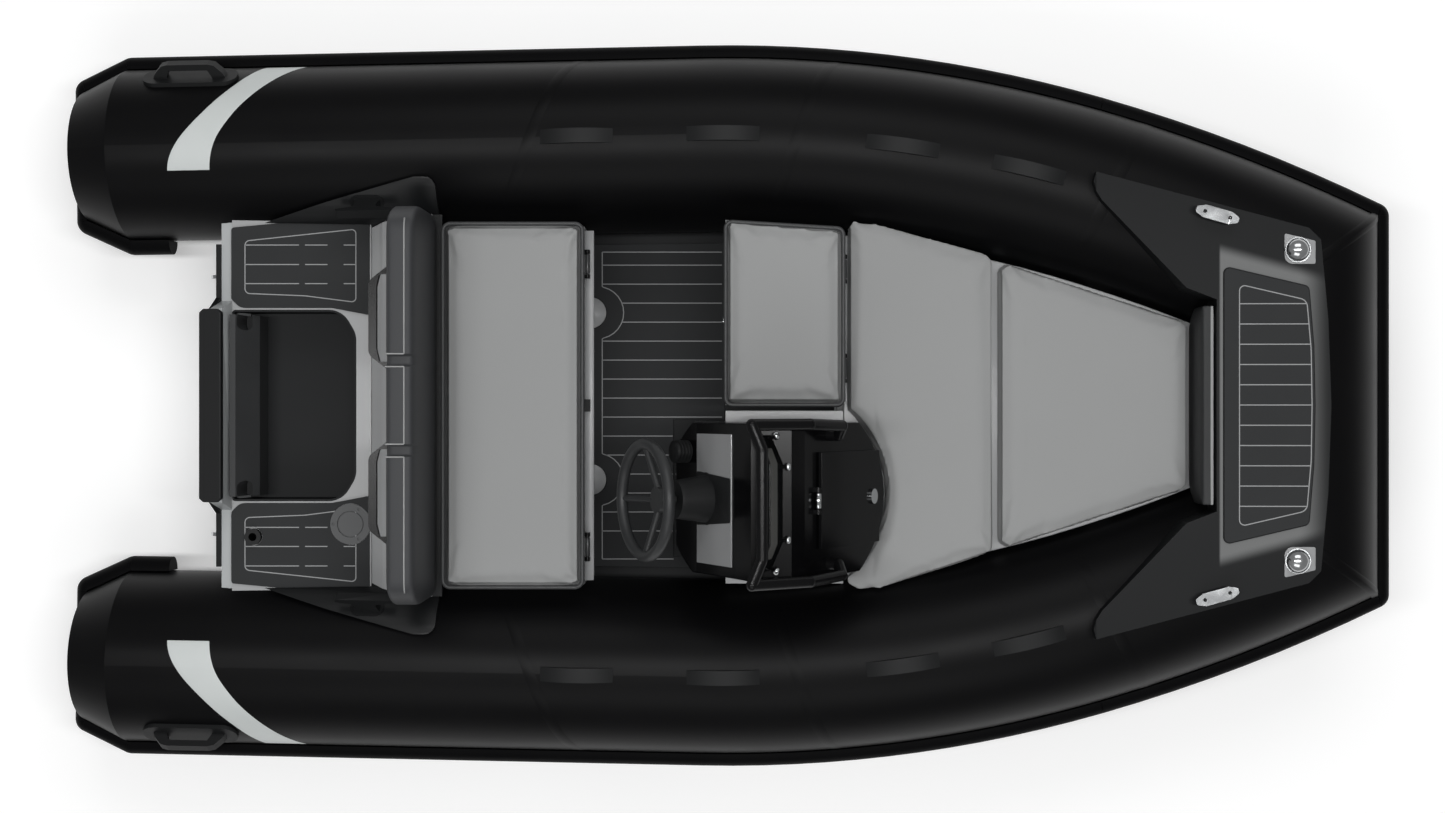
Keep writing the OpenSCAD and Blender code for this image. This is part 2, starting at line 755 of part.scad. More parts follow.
module bench_lid() {
  color("#6f7273") difference() {
    union() {
      translate([bench_aft + lid_gap, -bench_w, bench_z + 1]) cube([bench_l - lid_gap - 1, 2 * bench_w,
        lid_t - 1]);
      for (s = [-1, 1]) translate([bench_pin.x, s * hinge_y, bench_pin.y]) {
        hinge_barrel(hinge_l);
        translate([-20, -(hinge_l - 21) / 2, -4]) cube([20, hinge_l - 21, 8]);
      }
    }
    for (s = [-1, 1]) translate([bench_pin.x, s * hinge_y, bench_pin.y]) {
      hinge_bore(hinge_l);
      hinge_notches(hinge_l);
    }
  }
}

module bench_cushion() {
  color("#8f9192") translate([0, 0, bench_z + lid_t]) linear_extrude(pad_t)
    polygon(rounded([[bench_aft + 10, -bench_w], [bench_x, -bench_w], [bench_x, bench_w],
      [bench_aft + 10, bench_w]], 18));
}

module bench_buffer() {
  color("#17181a") translate([bench_x, -15, bench_z - 26]) cube([14, 30, 24]);
}

// Fixed pins of the bench, the port seat and the console hatch
module hinge_pins() {
  color("#c8cccf") {
    for (s = [-1, 1]) translate([bench_pin.x, s * hinge_y, bench_pin.y])
      hinge_ears(hinge_l, [bench_pin.x - bench_x, barrel_d / 2, 34]);
    for (y = seat_hinges) translate([seat_pin.x, y, seat_pin.y])
      hinge_ears(hinge_l, [seat_pin.x - seat_fore_x, -1, 34]);
    sloped() translate([hatch_pin.x, 0, hatch_pin.y]) hinge_ears(hatch_hinge_l, [barrel_d / 2,
      barrel_d / 2, hatch_pin.y]);
  }
}

module back_plinth() {
  color("#a9adae") difference() {
    rotate([90, 0, 0]) linear_extrude(2 * half_y - 300, center = true)
      polygon([[step_x + 1, deck_z], [bench_aft - 1, deck_z], [bench_aft - 1, bench_z + 4],
        [bench_aft - 80, bench_z + 4],
        [step_x + 30, step_z + 20], [step_x + 1, step_z]]);
    aft_room(13);
  }
}

back_w = half_y - 180;

module backrest() {
  x1 = bench_aft - 11;
  color("#3a3c3e") difference() {
    translate([x1 - back_t, 0, 0]) rotate([90, 0, 90]) linear_extrude(back_t)
      polygon(rounded([[-back_w, bench_z + 4], [back_w, bench_z + 4], [back_w - 8, back_z - 90],
        [back_w - 50, back_z],
        [50 - back_w, back_z], [8 - back_w, back_z - 90]], [10, 10, 40, 30, 30, 40], 4));
    for (s = [-1, 1]) translate([x1 - back_t - 1, s * 102 - 13, back_z - 12])
      cube([back_t + 2, 26, 100]);
    aft_room(13);
  }
}

module tube_leg(a, b, d) {
  v = b - a;
  translate(a) rotate([0, acos(v.z / norm(v)), atan2(v.y, v.x)]) cylinder(h = norm(v), d = d);
}

module tube_path(p, d) {
  for (i = [0:len(p) - 2]) tube_leg(p[i], p[i + 1], d);
  for (i = [1:len(p) - 2]) translate(p[i]) sphere(d = d + 0.6);
}

// Grab rails behind the backrest: a D in plan, drawn aft along -x
grab = [118, 34, 18];

function grab_pts(d) = [[1, grab.x - d], [-d, grab.x - d], [-grab.y - grab.z / 2 + d,
  grab.x - 34 - 0.7 * d],
  [-grab.y - grab.z / 2 + d, 34 - grab.x + 0.7 * d], [-d, d - grab.x], [1, d - grab.x]];

module backrest_rails() {
  color("#17181a") for (s = [-1, 1])
    translate([bench_aft - 11 - back_t - 0.3, s * 200, back_z - 60 - grab.z / 2]) linear_extrude(grab.z)
      difference() {
        polygon(rounded(grab_pts(0), [0, 8, 24, 24, 8, 0], 5));
        polygon(rounded(grab_pts(grab.z), [0, 4, 8, 8, 4, 0], 4));
        translate([0, -200]) square([50, 400]);
      }
}

// Port seat: a hollow box, its lid turning on a hinge along the forward edge
seat_in_y = 1;
seat_out = [clear_y + 15, clear_y - 11];
seat_hinges = [seat_in_y + 89, seat_out.y - 94];

function seat_pts(d) = [[seat_x + d, seat_in_y + d], [seat_fore_x - d, seat_in_y + d],
  [seat_fore_x - d, seat_out.y - d], [seat_x + d, seat_out.x - d]];

module seat_box() {
  color("#a9adae") {
    difference() {
      translate([0, 0, deck_z]) linear_extrude(seat_z - deck_z) polygon(seat_pts(0));
      translate([0, 0, deck_z + wall]) linear_extrude(far) polygon(rounded(seat_pts(wall), 4));
      mid_room(1);
    }
  }
}

module seat_lid() {
  color("#6f7273") difference() {
    union() {
      translate([0, 0, seat_z + 1]) linear_extrude(lid_t - 1) polygon(seat_pts(1));
      for (y = seat_hinges) translate([seat_pin.x, y, seat_pin.y]) {
        hinge_barrel(hinge_l);
        translate([-20, -(hinge_l - 21) / 2, -4]) cube([20, hinge_l - 21, 8]);
      }
    }
    for (y = seat_hinges) translate([seat_pin.x, y, seat_pin.y]) {
      hinge_bore(hinge_l);
      hinge_notches(hinge_l);
    }
    mid_room(lid_gap);
  }
}

module seat_cushion() {
  color("#8f9192") difference() {
    translate([0, 0, seat_z + lid_t]) linear_extrude(seat_pad_t) polygon(rounded(seat_pts(0), 16));
    mid_room(lid_gap);
  }
}

module seat_latch() {
  color("#c8cccf") translate([seat_x - 6, 205, seat_z - 24]) rotate([0, 90, 0]) cylinder(h = 6, r = 12);
}

// Bow locker and its pads, in the collar's plane
locker_end = nose_x - 3;

module bow_locker() {
  color("#a9adae") collar() translate([0, 0, -locker_d]) linear_extrude(locker_d + locker_h)
    polygon(between(locker_x, locker_end, 2 * seat_gap));
}

aft_pad_pts = [[locker_x + 5, -inside_y(locker_x, 196)], [locker_x + 51, -inside_y(locker_x + 51, 164)],
  [pad_split - 22, -inside_y(pad_split - 22, 209)], [pad_split - 2, -inside_y(pad_split - 2, 216)],
  [pad_split - 2, inside_y(pad_split - 2, 216)], [pad_split - 25, inside_y(pad_split - 25, 199)],
  [locker_x + 27, inside_y(locker_x + 27, 166)], [locker_x + 5, inside_y(locker_x + 5, 192)]];

module sunpad_aft() {
  color("#46484a") difference() {
    collar() translate([0, 0, locker_h]) linear_extrude(sun_t) polygon(rounded(aft_pad_pts, 14, 4));
    mid_room(1);
    translate([front_x, console_y, 0]) cylinder(h = far, r = front_r + 6, $fn = 128);
  }
}

fore_pad_pts = [[pad_split + 3, 0], [pad_split + 3, inside_y(pad_split, 235)], [pad_split + 27,
  inside_y(pad_split + 27, 213)],
  [nose_x - 52, inside_y(nose_x - 52, 215)], [nose_x - 37, inside_y(nose_x - 37, 226)], [nose_x - 37, 0]];

module sunpad_fore() {
  color("#46484a") difference() {
    collar() translate([0, 0, locker_h]) linear_extrude(sun_t) polygon(both_sides(fore_pad_pts));
    mid_room(1);
    fore_room(1);
  }
}

module riser_pad() {
  color("#3a3c3e") difference() {
    collar() translate([nose_x - 32, -244, locker_h]) cube([31.5, 488, nose_h - locker_h - 8]);
    fore_room(1);
    bow_room(1);
  }
}

// Nose moulding over the bow tubes
// Its plan: the bridge, the arms along the tubes, and the front
arm = [bow_x - 500, bow_x - 289];
nose_pts = [[nose_x, 0], [nose_x, inside_y(nose_x, 160)], [arm.y, inside_y(arm.y, 160)], [arm.x + 14,
  axis_y(arm.x) - 34],
  [arm.x, axis_y(arm.x) - 12], [arm.x - 6, axis_y(arm.x) + 12], [arm.x, axis_y(arm.x) + 34],
    [bow_x - 5, corner.y + 88],
  [bow_x + 23, corner.y + 60], [bow_x + 40, 200], [bow_x + 47, 0]];

module nose() {
  color("#3a3c3e") collar() difference() {
    translate([0, 0, 120]) linear_extrude(nose_h - 120) polygon(both_sides(nose_pts));
    mirrored() mid_chamber(seat_gap + mitre_gap);
    mirrored() fore_chamber(seat_gap);
    bow_chamber(seat_gap + mitre_gap);
  }
}

mat_pts = [[nose_x + 17, 0], [nose_x + 17, corner.y - 4], [bow_x - 7, corner.y - 51], [bow_x + 4, 140],
  [bow_x + 7, 0]];

module nose_mat() {
  color("#46484a") collar() translate([0, 0, nose_h]) linear_extrude(mat_t)
    offset(r = 12) offset(delta = -12) polygon(both_sides(mat_pts));
}

module bow_cleats() {
  color("#c8cccf") collar() mirrored() translate([bow_x - 224, axis_y(bow_x - 224) + 23,
    nose_h]) rotate([0, 0, -16])
    flat_cleat(102, 30, 34);
}

module nav_lights() {
  color("#c8cccf") collar() mirrored() translate([bow_x - 32, corner.y + 36, nose_h]) {
    cylinder(h = 8, r = 30);
    translate([0, 0, 8]) intersection() {
      translate([0, 0, -12]) sphere(30);
      cylinder(h = 40, r = 28);
    }
  }
}

// Console
module console_plinth() {
  color("#a9adae") difference() {
    translate([seat_x, -436, deck_z]) cube([locker_x - 6 - seat_x, 423, 360 - deck_z]);
    mid_room(1);
  }
}

console_pts = [[console_x, deck_z], [console_x + 14, 520], dash_foot, dash_head, [60, brow_z], [150,
  brow_z],
  slope_top, slope_foot, [slope_foot.x, 300], [seat_x - 1, 300], [seat_x - 1, deck_z]];

// A point given on the front slope: down it, across from the console's middle, and out from it
function on_slope(x, y, z) = [slope_top.x + x * cos(slope_a) + z * sin(slope_a), console_y + y,
  slope_top.y - x * sin(slope_a) + z * cos(slope_a)];

module sloped() {
  translate([slope_top.x, console_y, slope_top.y]) rotate([0, slope_a, 0]) children();
}

module dashed() {
  translate([dash_foot.x, console_y, dash_foot.y]) rotate([0, dash_a - 90, 0]) children();
}

hatch = [62, 372, 109];
hatch_pin = [50, 9];
hatch_hinge_l = 60;
// The console's rounded plan: middle and radius of the arc
front_r = 263;
front_x = slope_foot.x - front_r;

module console() {
  color("#141517") difference() {
    intersection() {
      translate([0, console_y, 0]) rotate([90, 0, 0]) linear_extrude(console_w,
        center = true) polygon(console_pts);
      translate([front_x, console_y, 0]) cylinder(h = far, r = front_r, $fn = 128);
    }
    translate([0, console_y, 0]) rotate([90, 0, 0]) linear_extrude(2 * hatch.z, center = true)
      polygon([[60, 380], [60, 780], [150, 800], slope_top - [12, 20], [352, 440], [352, 380]]);
    sloped() translate([hatch.x + 14, 14 - hatch.z, -60]) cube([hatch.y - hatch.x - 28,
      2 * hatch.z - 28, 100]);
    translate([seat_x - 1, -600, 0]) cube([locker_x - seat_x + 2, 600, 360]);
    collar() translate([locker_x - 6, -600, locker_h - 500]) cube([500, 600, 500]);
  }
}

module dash_panel() {
  color("#0c0d0e") dashed() difference() {
    translate([8, -150, 0]) cube([dash_l - 20, 300, 4]);
    translate([wheel_at_dash, 0, -1]) cylinder(h = 20, r = 60);
  }
}

wheel_at_dash = (wheel_at.x - dash_foot.x) * sin(dash_a) + (wheel_at.z - dash_foot.y) * cos(dash_a);

module console_hatch() {
  color("#a9adae") sloped() difference() {
    union() {
      translate([hatch.x, -hatch.z, 3]) cube([hatch.y - hatch.x, 2 * hatch.z, 9]);
      translate([hatch_pin.x, 0, hatch_pin.y]) {
        hinge_barrel(hatch_hinge_l);
        translate([0, -(hatch_hinge_l - 21) / 2, -4]) cube([hatch.x - hatch_pin.x + 1,
          hatch_hinge_l - 21, 7]);
      }
    }
    translate([hatch_pin.x, 0, hatch_pin.y]) hinge_bore(hatch_hinge_l);
  }
}

module hatch_latch() {
  color("#c8cccf") sloped() translate([hatch.y - 40, 0, 12]) cylinder(h = 6, r = 18);
}

module windscreen() {
  color("#2a2e31") difference() {
    translate([131, console_y, brow_z]) rotate([0, -20, 0]) linear_extrude(88)
      polygon([[-25, -150], [0, -88], [0, 88], [-25, 150], [-31, 148], [-6, 86], [-6, -86], [-31, -148]]);
    translate([-far / 2, -far / 2, brow_z - far]) cube(far);
  }
}

module console_rail() {
  w = console_w / 2 - 2;
  color("#17181a") tube_path([on_slope(118, 26 - w, 0), on_slope(118, 26 - w, 26), on_slope(95, 4 - w, 46),
    [190, console_y - w, 862], [61, console_y - w, 950], [83, console_y - w + 55, 950],
    [83, console_y + w - 55, 950], [61, console_y + w, 950], [190, console_y + w, 862],
    on_slope(95, w - 4, 46), on_slope(118, w - 26, 26), on_slope(118, w - 26, 0)], rail_d);
}

// Helm boss on the dash, and the wheel that turns on its shaft
module at_wheel() {
  translate(wheel_at) rotate([0, dash_a - 90, 0]) children();
}

hub_in = 38;

module helm() {
  color("#17181a") at_wheel() {
    translate([0, 0, -dash_reach]) cylinder(h = dash_reach - hub_in - 36, r1 = 56, r2 = 44);
    translate([0, 0, -hub_in - 40]) cylinder(h = 34, r = 11);
  }
}

module steering_wheel() {
  color("#101112") at_wheel() difference() {
    union() {
      rotate_extrude($fn = 96) translate([wheel_r - rim_d / 2, 0]) circle(d = rim_d);
      translate([0, 0, -hub_in - 18]) cylinder(h = 30, r = 30);
      for (a = [90, 180, 270]) rotate([0, 0, a])
        tube_leg([12, 0, -hub_in], [wheel_r - rim_d / 2, 0, 0], 16);
    }
    translate([0, 0, -hub_in - 30]) cylinder(h = 34, r = 11 + pin_gap);
  }
}

hull();
towing_eyes();
deck_plate();
floor_mat();
transom();
clamp_pad();
transom_trim();
transom_cap();
well_ledge();
well_tray();
aft_deck();
step_mats();
filler_cap();
pole_socket();
tube_aft_port();
tube_aft_starboard();
tube_mid_port();
tube_mid_starboard();
tube_fore_port();
tube_fore_starboard();
tube_bow();
strake_port();
strake_starboard();
strake_bow();
soft_handles();
lift_handles();
bow_handle();
aft_wings();
aft_cleats();
bench_box();
bench_lid();
bench_cushion();
bench_buffer();
hinge_pins();
back_plinth();
backrest();
backrest_rails();
seat_box();
seat_lid();
seat_cushion();
seat_latch();
bow_locker();
sunpad_aft();
sunpad_fore();
riser_pad();
nose();
nose_mat();
bow_cleats();
nav_lights();
console_plinth();
console();
dash_panel();
console_hatch();
hatch_latch();
windscreen();
console_rail();
helm();
steering_wheel();
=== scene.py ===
import bpy, bmesh, json, math
import numpy as np
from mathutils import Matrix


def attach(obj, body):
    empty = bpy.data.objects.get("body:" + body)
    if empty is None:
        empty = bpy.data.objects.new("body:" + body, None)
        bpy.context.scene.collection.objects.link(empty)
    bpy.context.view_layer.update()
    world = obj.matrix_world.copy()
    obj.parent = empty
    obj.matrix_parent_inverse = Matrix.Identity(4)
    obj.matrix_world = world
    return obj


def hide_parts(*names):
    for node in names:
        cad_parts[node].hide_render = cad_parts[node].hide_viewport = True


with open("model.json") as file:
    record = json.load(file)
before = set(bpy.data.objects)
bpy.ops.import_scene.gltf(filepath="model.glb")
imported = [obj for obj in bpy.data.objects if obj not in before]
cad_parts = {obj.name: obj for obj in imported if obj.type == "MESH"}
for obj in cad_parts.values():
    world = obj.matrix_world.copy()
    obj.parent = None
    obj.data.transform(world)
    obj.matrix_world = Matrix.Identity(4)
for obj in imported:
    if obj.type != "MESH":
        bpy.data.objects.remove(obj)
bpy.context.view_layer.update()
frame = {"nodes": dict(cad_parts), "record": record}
nodes = frame["nodes"]
scene = bpy.context.scene
scene.view_settings.view_transform = "Standard"
print("stage: frame loaded,", len(nodes), "nodes")


# sRGB hex to linear RGBA
def hexColour(code):
    srgb = np.array([int(code[i:i + 2], 16) / 255 for i in (1, 3, 5)])
    linear = np.where(srgb <= 0.04045, srgb / 12.92, ((srgb + 0.055) / 1.055) ** 2.4)
    return (*[float(v) for v in linear], 1.0)


# adds a node with its settings, and links sockets given as {input: (node, output)}
def addNode(tree, kind, settings=None, links=None):
    node = tree.nodes.new(kind)
    for key, value in (settings or {}).items():
        if isinstance(key, str) and hasattr(node, key):
            setattr(node, key, value)
        else:
            node.inputs[key].default_value = value
    for key, (source, output) in (links or {}).items():
        tree.links.new(source.outputs[output], node.inputs[key])
    return node


# camera straight above, as in the photograph; the frame is 1445 x 813
cameraSettings = {"place": (-0.0025, -0.0025, 5.26), "lens": 49.83, "sensor": 36.0}
cameraData = bpy.data.cameras.new("topCamera")
cameraData.lens, cameraData.sensor_width = cameraSettings["lens"], cameraSettings["sensor"]
camera = bpy.data.objects.new("topCamera", cameraData)
camera.location = cameraSettings["place"]
scene.collection.objects.link(camera)
scene.camera = camera


# faces of a grid of nu by nv points, wrapped in u or v where asked
def gridFaces(nu, nv, wrapU=False, wrapV=False):
    i, j = np.meshgrid(np.arange(nu if wrapU else nu - 1), np.arange(nv if wrapV else nv - 1), indexing="ij")
    i2, j2 = (i + 1) % nu, (j + 1) % nv
    return np.stack([i * nv + j, i2 * nv + j, i2 * nv + j2, i * nv + j2], -1).reshape(-1, 4)


# a mesh object from whole arrays, riding on a body
def makePiece(name, points, faces, material, body, smooth=True):
    mesh = bpy.data.meshes.new(name)
    if isinstance(faces, np.ndarray):
        faces = faces.tolist()
    mesh.from_pydata(np.asarray(points, float).reshape(-1, 3).tolist(), [], faces)
    mesh.polygons.foreach_set("use_smooth", np.full(len(mesh.polygons), smooth))
    mesh.materials.append(material)
    work = bmesh.new()
    work.from_mesh(mesh)
    bmesh.ops.remove_doubles(work, verts=work.verts, dist=1e-6)
    bmesh.ops.recalc_face_normals(work, faces=work.faces)
    work.to_mesh(mesh)
    work.free()
    piece = bpy.data.objects.new(name, mesh)
    scene.collection.objects.link(piece)
    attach(piece, body)
    return piece


# a polygon's corners replaced by arcs of radius r
def roundedPath(corners, radius, steps=6):
    corners = np.asarray(corners, float)
    before, after = np.roll(corners, 1, 0) - corners, np.roll(corners, -1, 0) - corners
    u = before / np.linalg.norm(before, axis=1, keepdims=True)
    v = after / np.linalg.norm(after, axis=1, keepdims=True)
    half = np.arccos(np.clip((u * v).sum(1), -1, 1)) / 2
    r = np.broadcast_to(np.asarray(radius, float), half.shape)
    back = (r / np.tan(half))[:, None]
    centre = corners + (u + v) / np.linalg.norm(u + v, axis=1, keepdims=True) * (r / np.sin(half))[:, None]
    start, end = corners + u * back - centre, corners + v * back - centre
    a = np.arctan2(start[:, 1], start[:, 0])
    turn = np.arctan2(start[:, 0] * end[:, 1] - start[:, 1] * end[:, 0], (start * end).sum(1))
    angle = a[:, None] + turn[:, None] * np.linspace(0, 1, steps + 1)
    arc = np.stack([np.cos(angle), np.sin(angle)], -1) * r[:, None, None]
    return (centre[:, None] + arc).reshape(-1, 2)


# a closed profile (side, up) carried along a path; up is the path's own normal at each point
def sweep(path, up, profile, closed):
    path, up, profile = (np.asarray(a, float) for a in (path, up, profile))
    up = np.broadcast_to(up, path.shape)
    if closed:
        along = np.roll(path, -1, 0) - np.roll(path, 1, 0)
    else:
        along = np.gradient(path, axis=0)
    along = along / np.linalg.norm(along, axis=1, keepdims=True)
    side = np.cross(along, up)
    side = side / np.linalg.norm(side, axis=1, keepdims=True)
    lift = np.cross(side, along)
    points = path[:, None] + side[:, None] * profile[None, :, :1] + lift[:, None] * profile[None, :, 1:]
    faces = gridFaces(len(path), len(profile), closed, True).tolist()
    if not closed:
        n, m = len(path), len(profile)
        faces += [list(range(m))[::-1], [(n - 1) * m + k for k in range(m)]]
    return points.reshape(-1, 3), faces


# a profile (radius, height) turned about an axis through a point
def turned(profile, centre, axis, steps=24):
    profile, axis = np.asarray(profile, float), np.asarray(axis, float)
    axis = axis / np.linalg.norm(axis)
    one = np.cross(axis, [0.0, 1.0, 0.0] if abs(axis[1]) < 0.9 else [1.0, 0.0, 0.0])
    one = one / np.linalg.norm(one)
    two = np.cross(axis, one)
    angle = np.linspace(0, 2 * np.pi, steps, endpoint=False)
    ring = np.cos(angle)[:, None] * one + np.sin(angle)[:, None] * two
    points = np.asarray(centre) + ring[:, None] * profile[None, :, :1] + axis * profile[None, :, 1:]
    m = len(profile)
    faces = gridFaces(steps, m, True, False).tolist()
    faces += [[k * m for k in range(steps)], [k * m + m - 1 for k in range(steps)]]
    return points.reshape(-1, 3), faces


# several meshes as one
def joined(parts):
    points, faces, base = [], [], 0
    for p, f in parts:
        points.append(np.asarray(p).reshape(-1, 3))
        faces += [[k + base for k in face] for face in f]
        base += len(points[-1])
    return np.concatenate(points), faces


# a flat plate: an outline (a, b) carried from low to high, its top rim drawn in by the bevel;
# place maps (a, b, c) to metres
def plate(outline, place, low, high, bevel):
    outline = np.asarray(outline, float)
    inward = outline.mean(0) - outline
    inset = outline + inward / np.linalg.norm(inward, axis=1, keepdims=True) * bevel
    rings = [np.column_stack([ring, np.full(len(ring), level)])
             for ring, level in ((outline, low), (outline, high - bevel), (inset, high))]
    n = len(outline)
    faces = gridFaces(3, n, False, True).tolist() + [list(range(n))[::-1], [2 * n + k for k in range(n)]]
    return place(np.concatenate(rings)), faces


# a circle of radius r as a closed profile of n points
def roundProfile(r, n):
    angle = np.arange(n) * 2 * np.pi / n
    return r * np.stack([np.cos(angle), np.sin(angle)], -1)


# the tubes lie in one plane, pitched up at the bow, at this height amidships
collar = {"pitch": math.radians(2.5), "height": 0.26}
collarUp = [-math.sin(collar["pitch"]), 0.0, math.cos(collar["pitch"])]


# points (x, y, z) in the tubes' own pitched frame to the boat's frame
def pitched(points):
    points = np.asarray(points, float)
    lean = collar["pitch"]
    x, y, z = points[..., 0], points[..., 1], points[..., 2]
    return np.stack([x * math.cos(lean) - z * math.sin(lean), y,
                     collar["height"] + x * math.sin(lean) + z * math.cos(lean)], -1)


# one material from its settings: colour drift, grain bump and roughness drift, scales in real mm; a patch is a second
# colour inside half planes with soft edges, on x, the distance off the centreline, and z, used below for painted
# reflection and painted shade
def surface(name, look):
    material = bpy.data.materials.new(name)
    material.use_nodes = True
    tree = material.node_tree
    tree.nodes.clear()
    place = addNode(tree, "ShaderNodeTexCoord")
    drift = addNode(tree, "ShaderNodeTexNoise", {"Scale": 1000 / look.get("driftMm", 120), "Detail": 3.0},
                    {"Vector": (place, "Object")})
    mix = addNode(tree, "ShaderNodeMix",
                  {"data_type": "RGBA", 6: hexColour(look["dark"]), 7: hexColour(look["light"])},
                  {0: (drift, "Fac")})
    if "patch" in look:
        split = addNode(tree, "ShaderNodeSeparateXYZ", {}, {"Vector": (place, "Object")})
        away = addNode(tree, "ShaderNodeMath", {"operation": "ABSOLUTE"}, {0: (split, "Y")})
        spot = addNode(tree, "ShaderNodeCombineXYZ", {}, {"X": (split, "X"), "Y": (away, 0), "Z": (split, "Z")})
        inside = None
        for normal, offset, soft in look["patch"]["edges"]:
            reach = addNode(tree, "ShaderNodeVectorMath", {"operation": "DOT_PRODUCT", 1: normal}, {0: (spot, 0)})
            step = addNode(tree, "ShaderNodeMapRange",
                           {"interpolation_type": "SMOOTHSTEP", "From Min": -offset - soft, "From Max": -offset + soft},
                           {"Value": (reach, "Value")})
            inside = step if inside is None else addNode(tree, "ShaderNodeMath", {"operation": "MULTIPLY"},
                                                         {0: (inside, 0), 1: (step, 0)})
        mix = addNode(tree, "ShaderNodeMix", {"data_type": "RGBA", 7: hexColour(look["patch"]["colour"])},
                      {0: (inside, 0), 6: (mix, 2)})
    grain = addNode(tree, "ShaderNodeTexVoronoi" if look.get("cells") else "ShaderNodeTexNoise",
                    {"Scale": 1000 / look["grainMm"]}, {"Vector": (place, "Object")})
    spread = look.get("roughSpread", 0.06)
    rough = addNode(tree, "ShaderNodeMapRange", {"To Min": look["rough"] - spread, "To Max": look["rough"] + spread},
                    {"Value": (drift, "Fac")})
    bump = addNode(tree, "ShaderNodeBump",
                   {"Strength": look.get("bump", 0.2), "Distance": look.get("bumpMm", 0.3) / 1000},
                   {"Height": (grain, 0)})
    shader = addNode(tree, "ShaderNodeBsdfPrincipled",
                     {"Metallic": look.get("metal", 0.0), "IOR": look.get("ior", 1.5),
                      "Specular IOR Level": look.get("specular", 0.5), "Coat Weight": look.get("coat", 0.0),
                      "Coat Roughness": look.get("coatRough", 0.05), "Transmission Weight": look.get("clear", 0.0),
                      "Sheen Weight": look.get("sheen", 0.0)},
                     {"Base Color": (mix, 2), "Roughness": (rough, 0), "Normal": (bump, 0)})
    addNode(tree, "ShaderNodeOutputMaterial", {}, {"Surface": (shader, 0)})
    return material


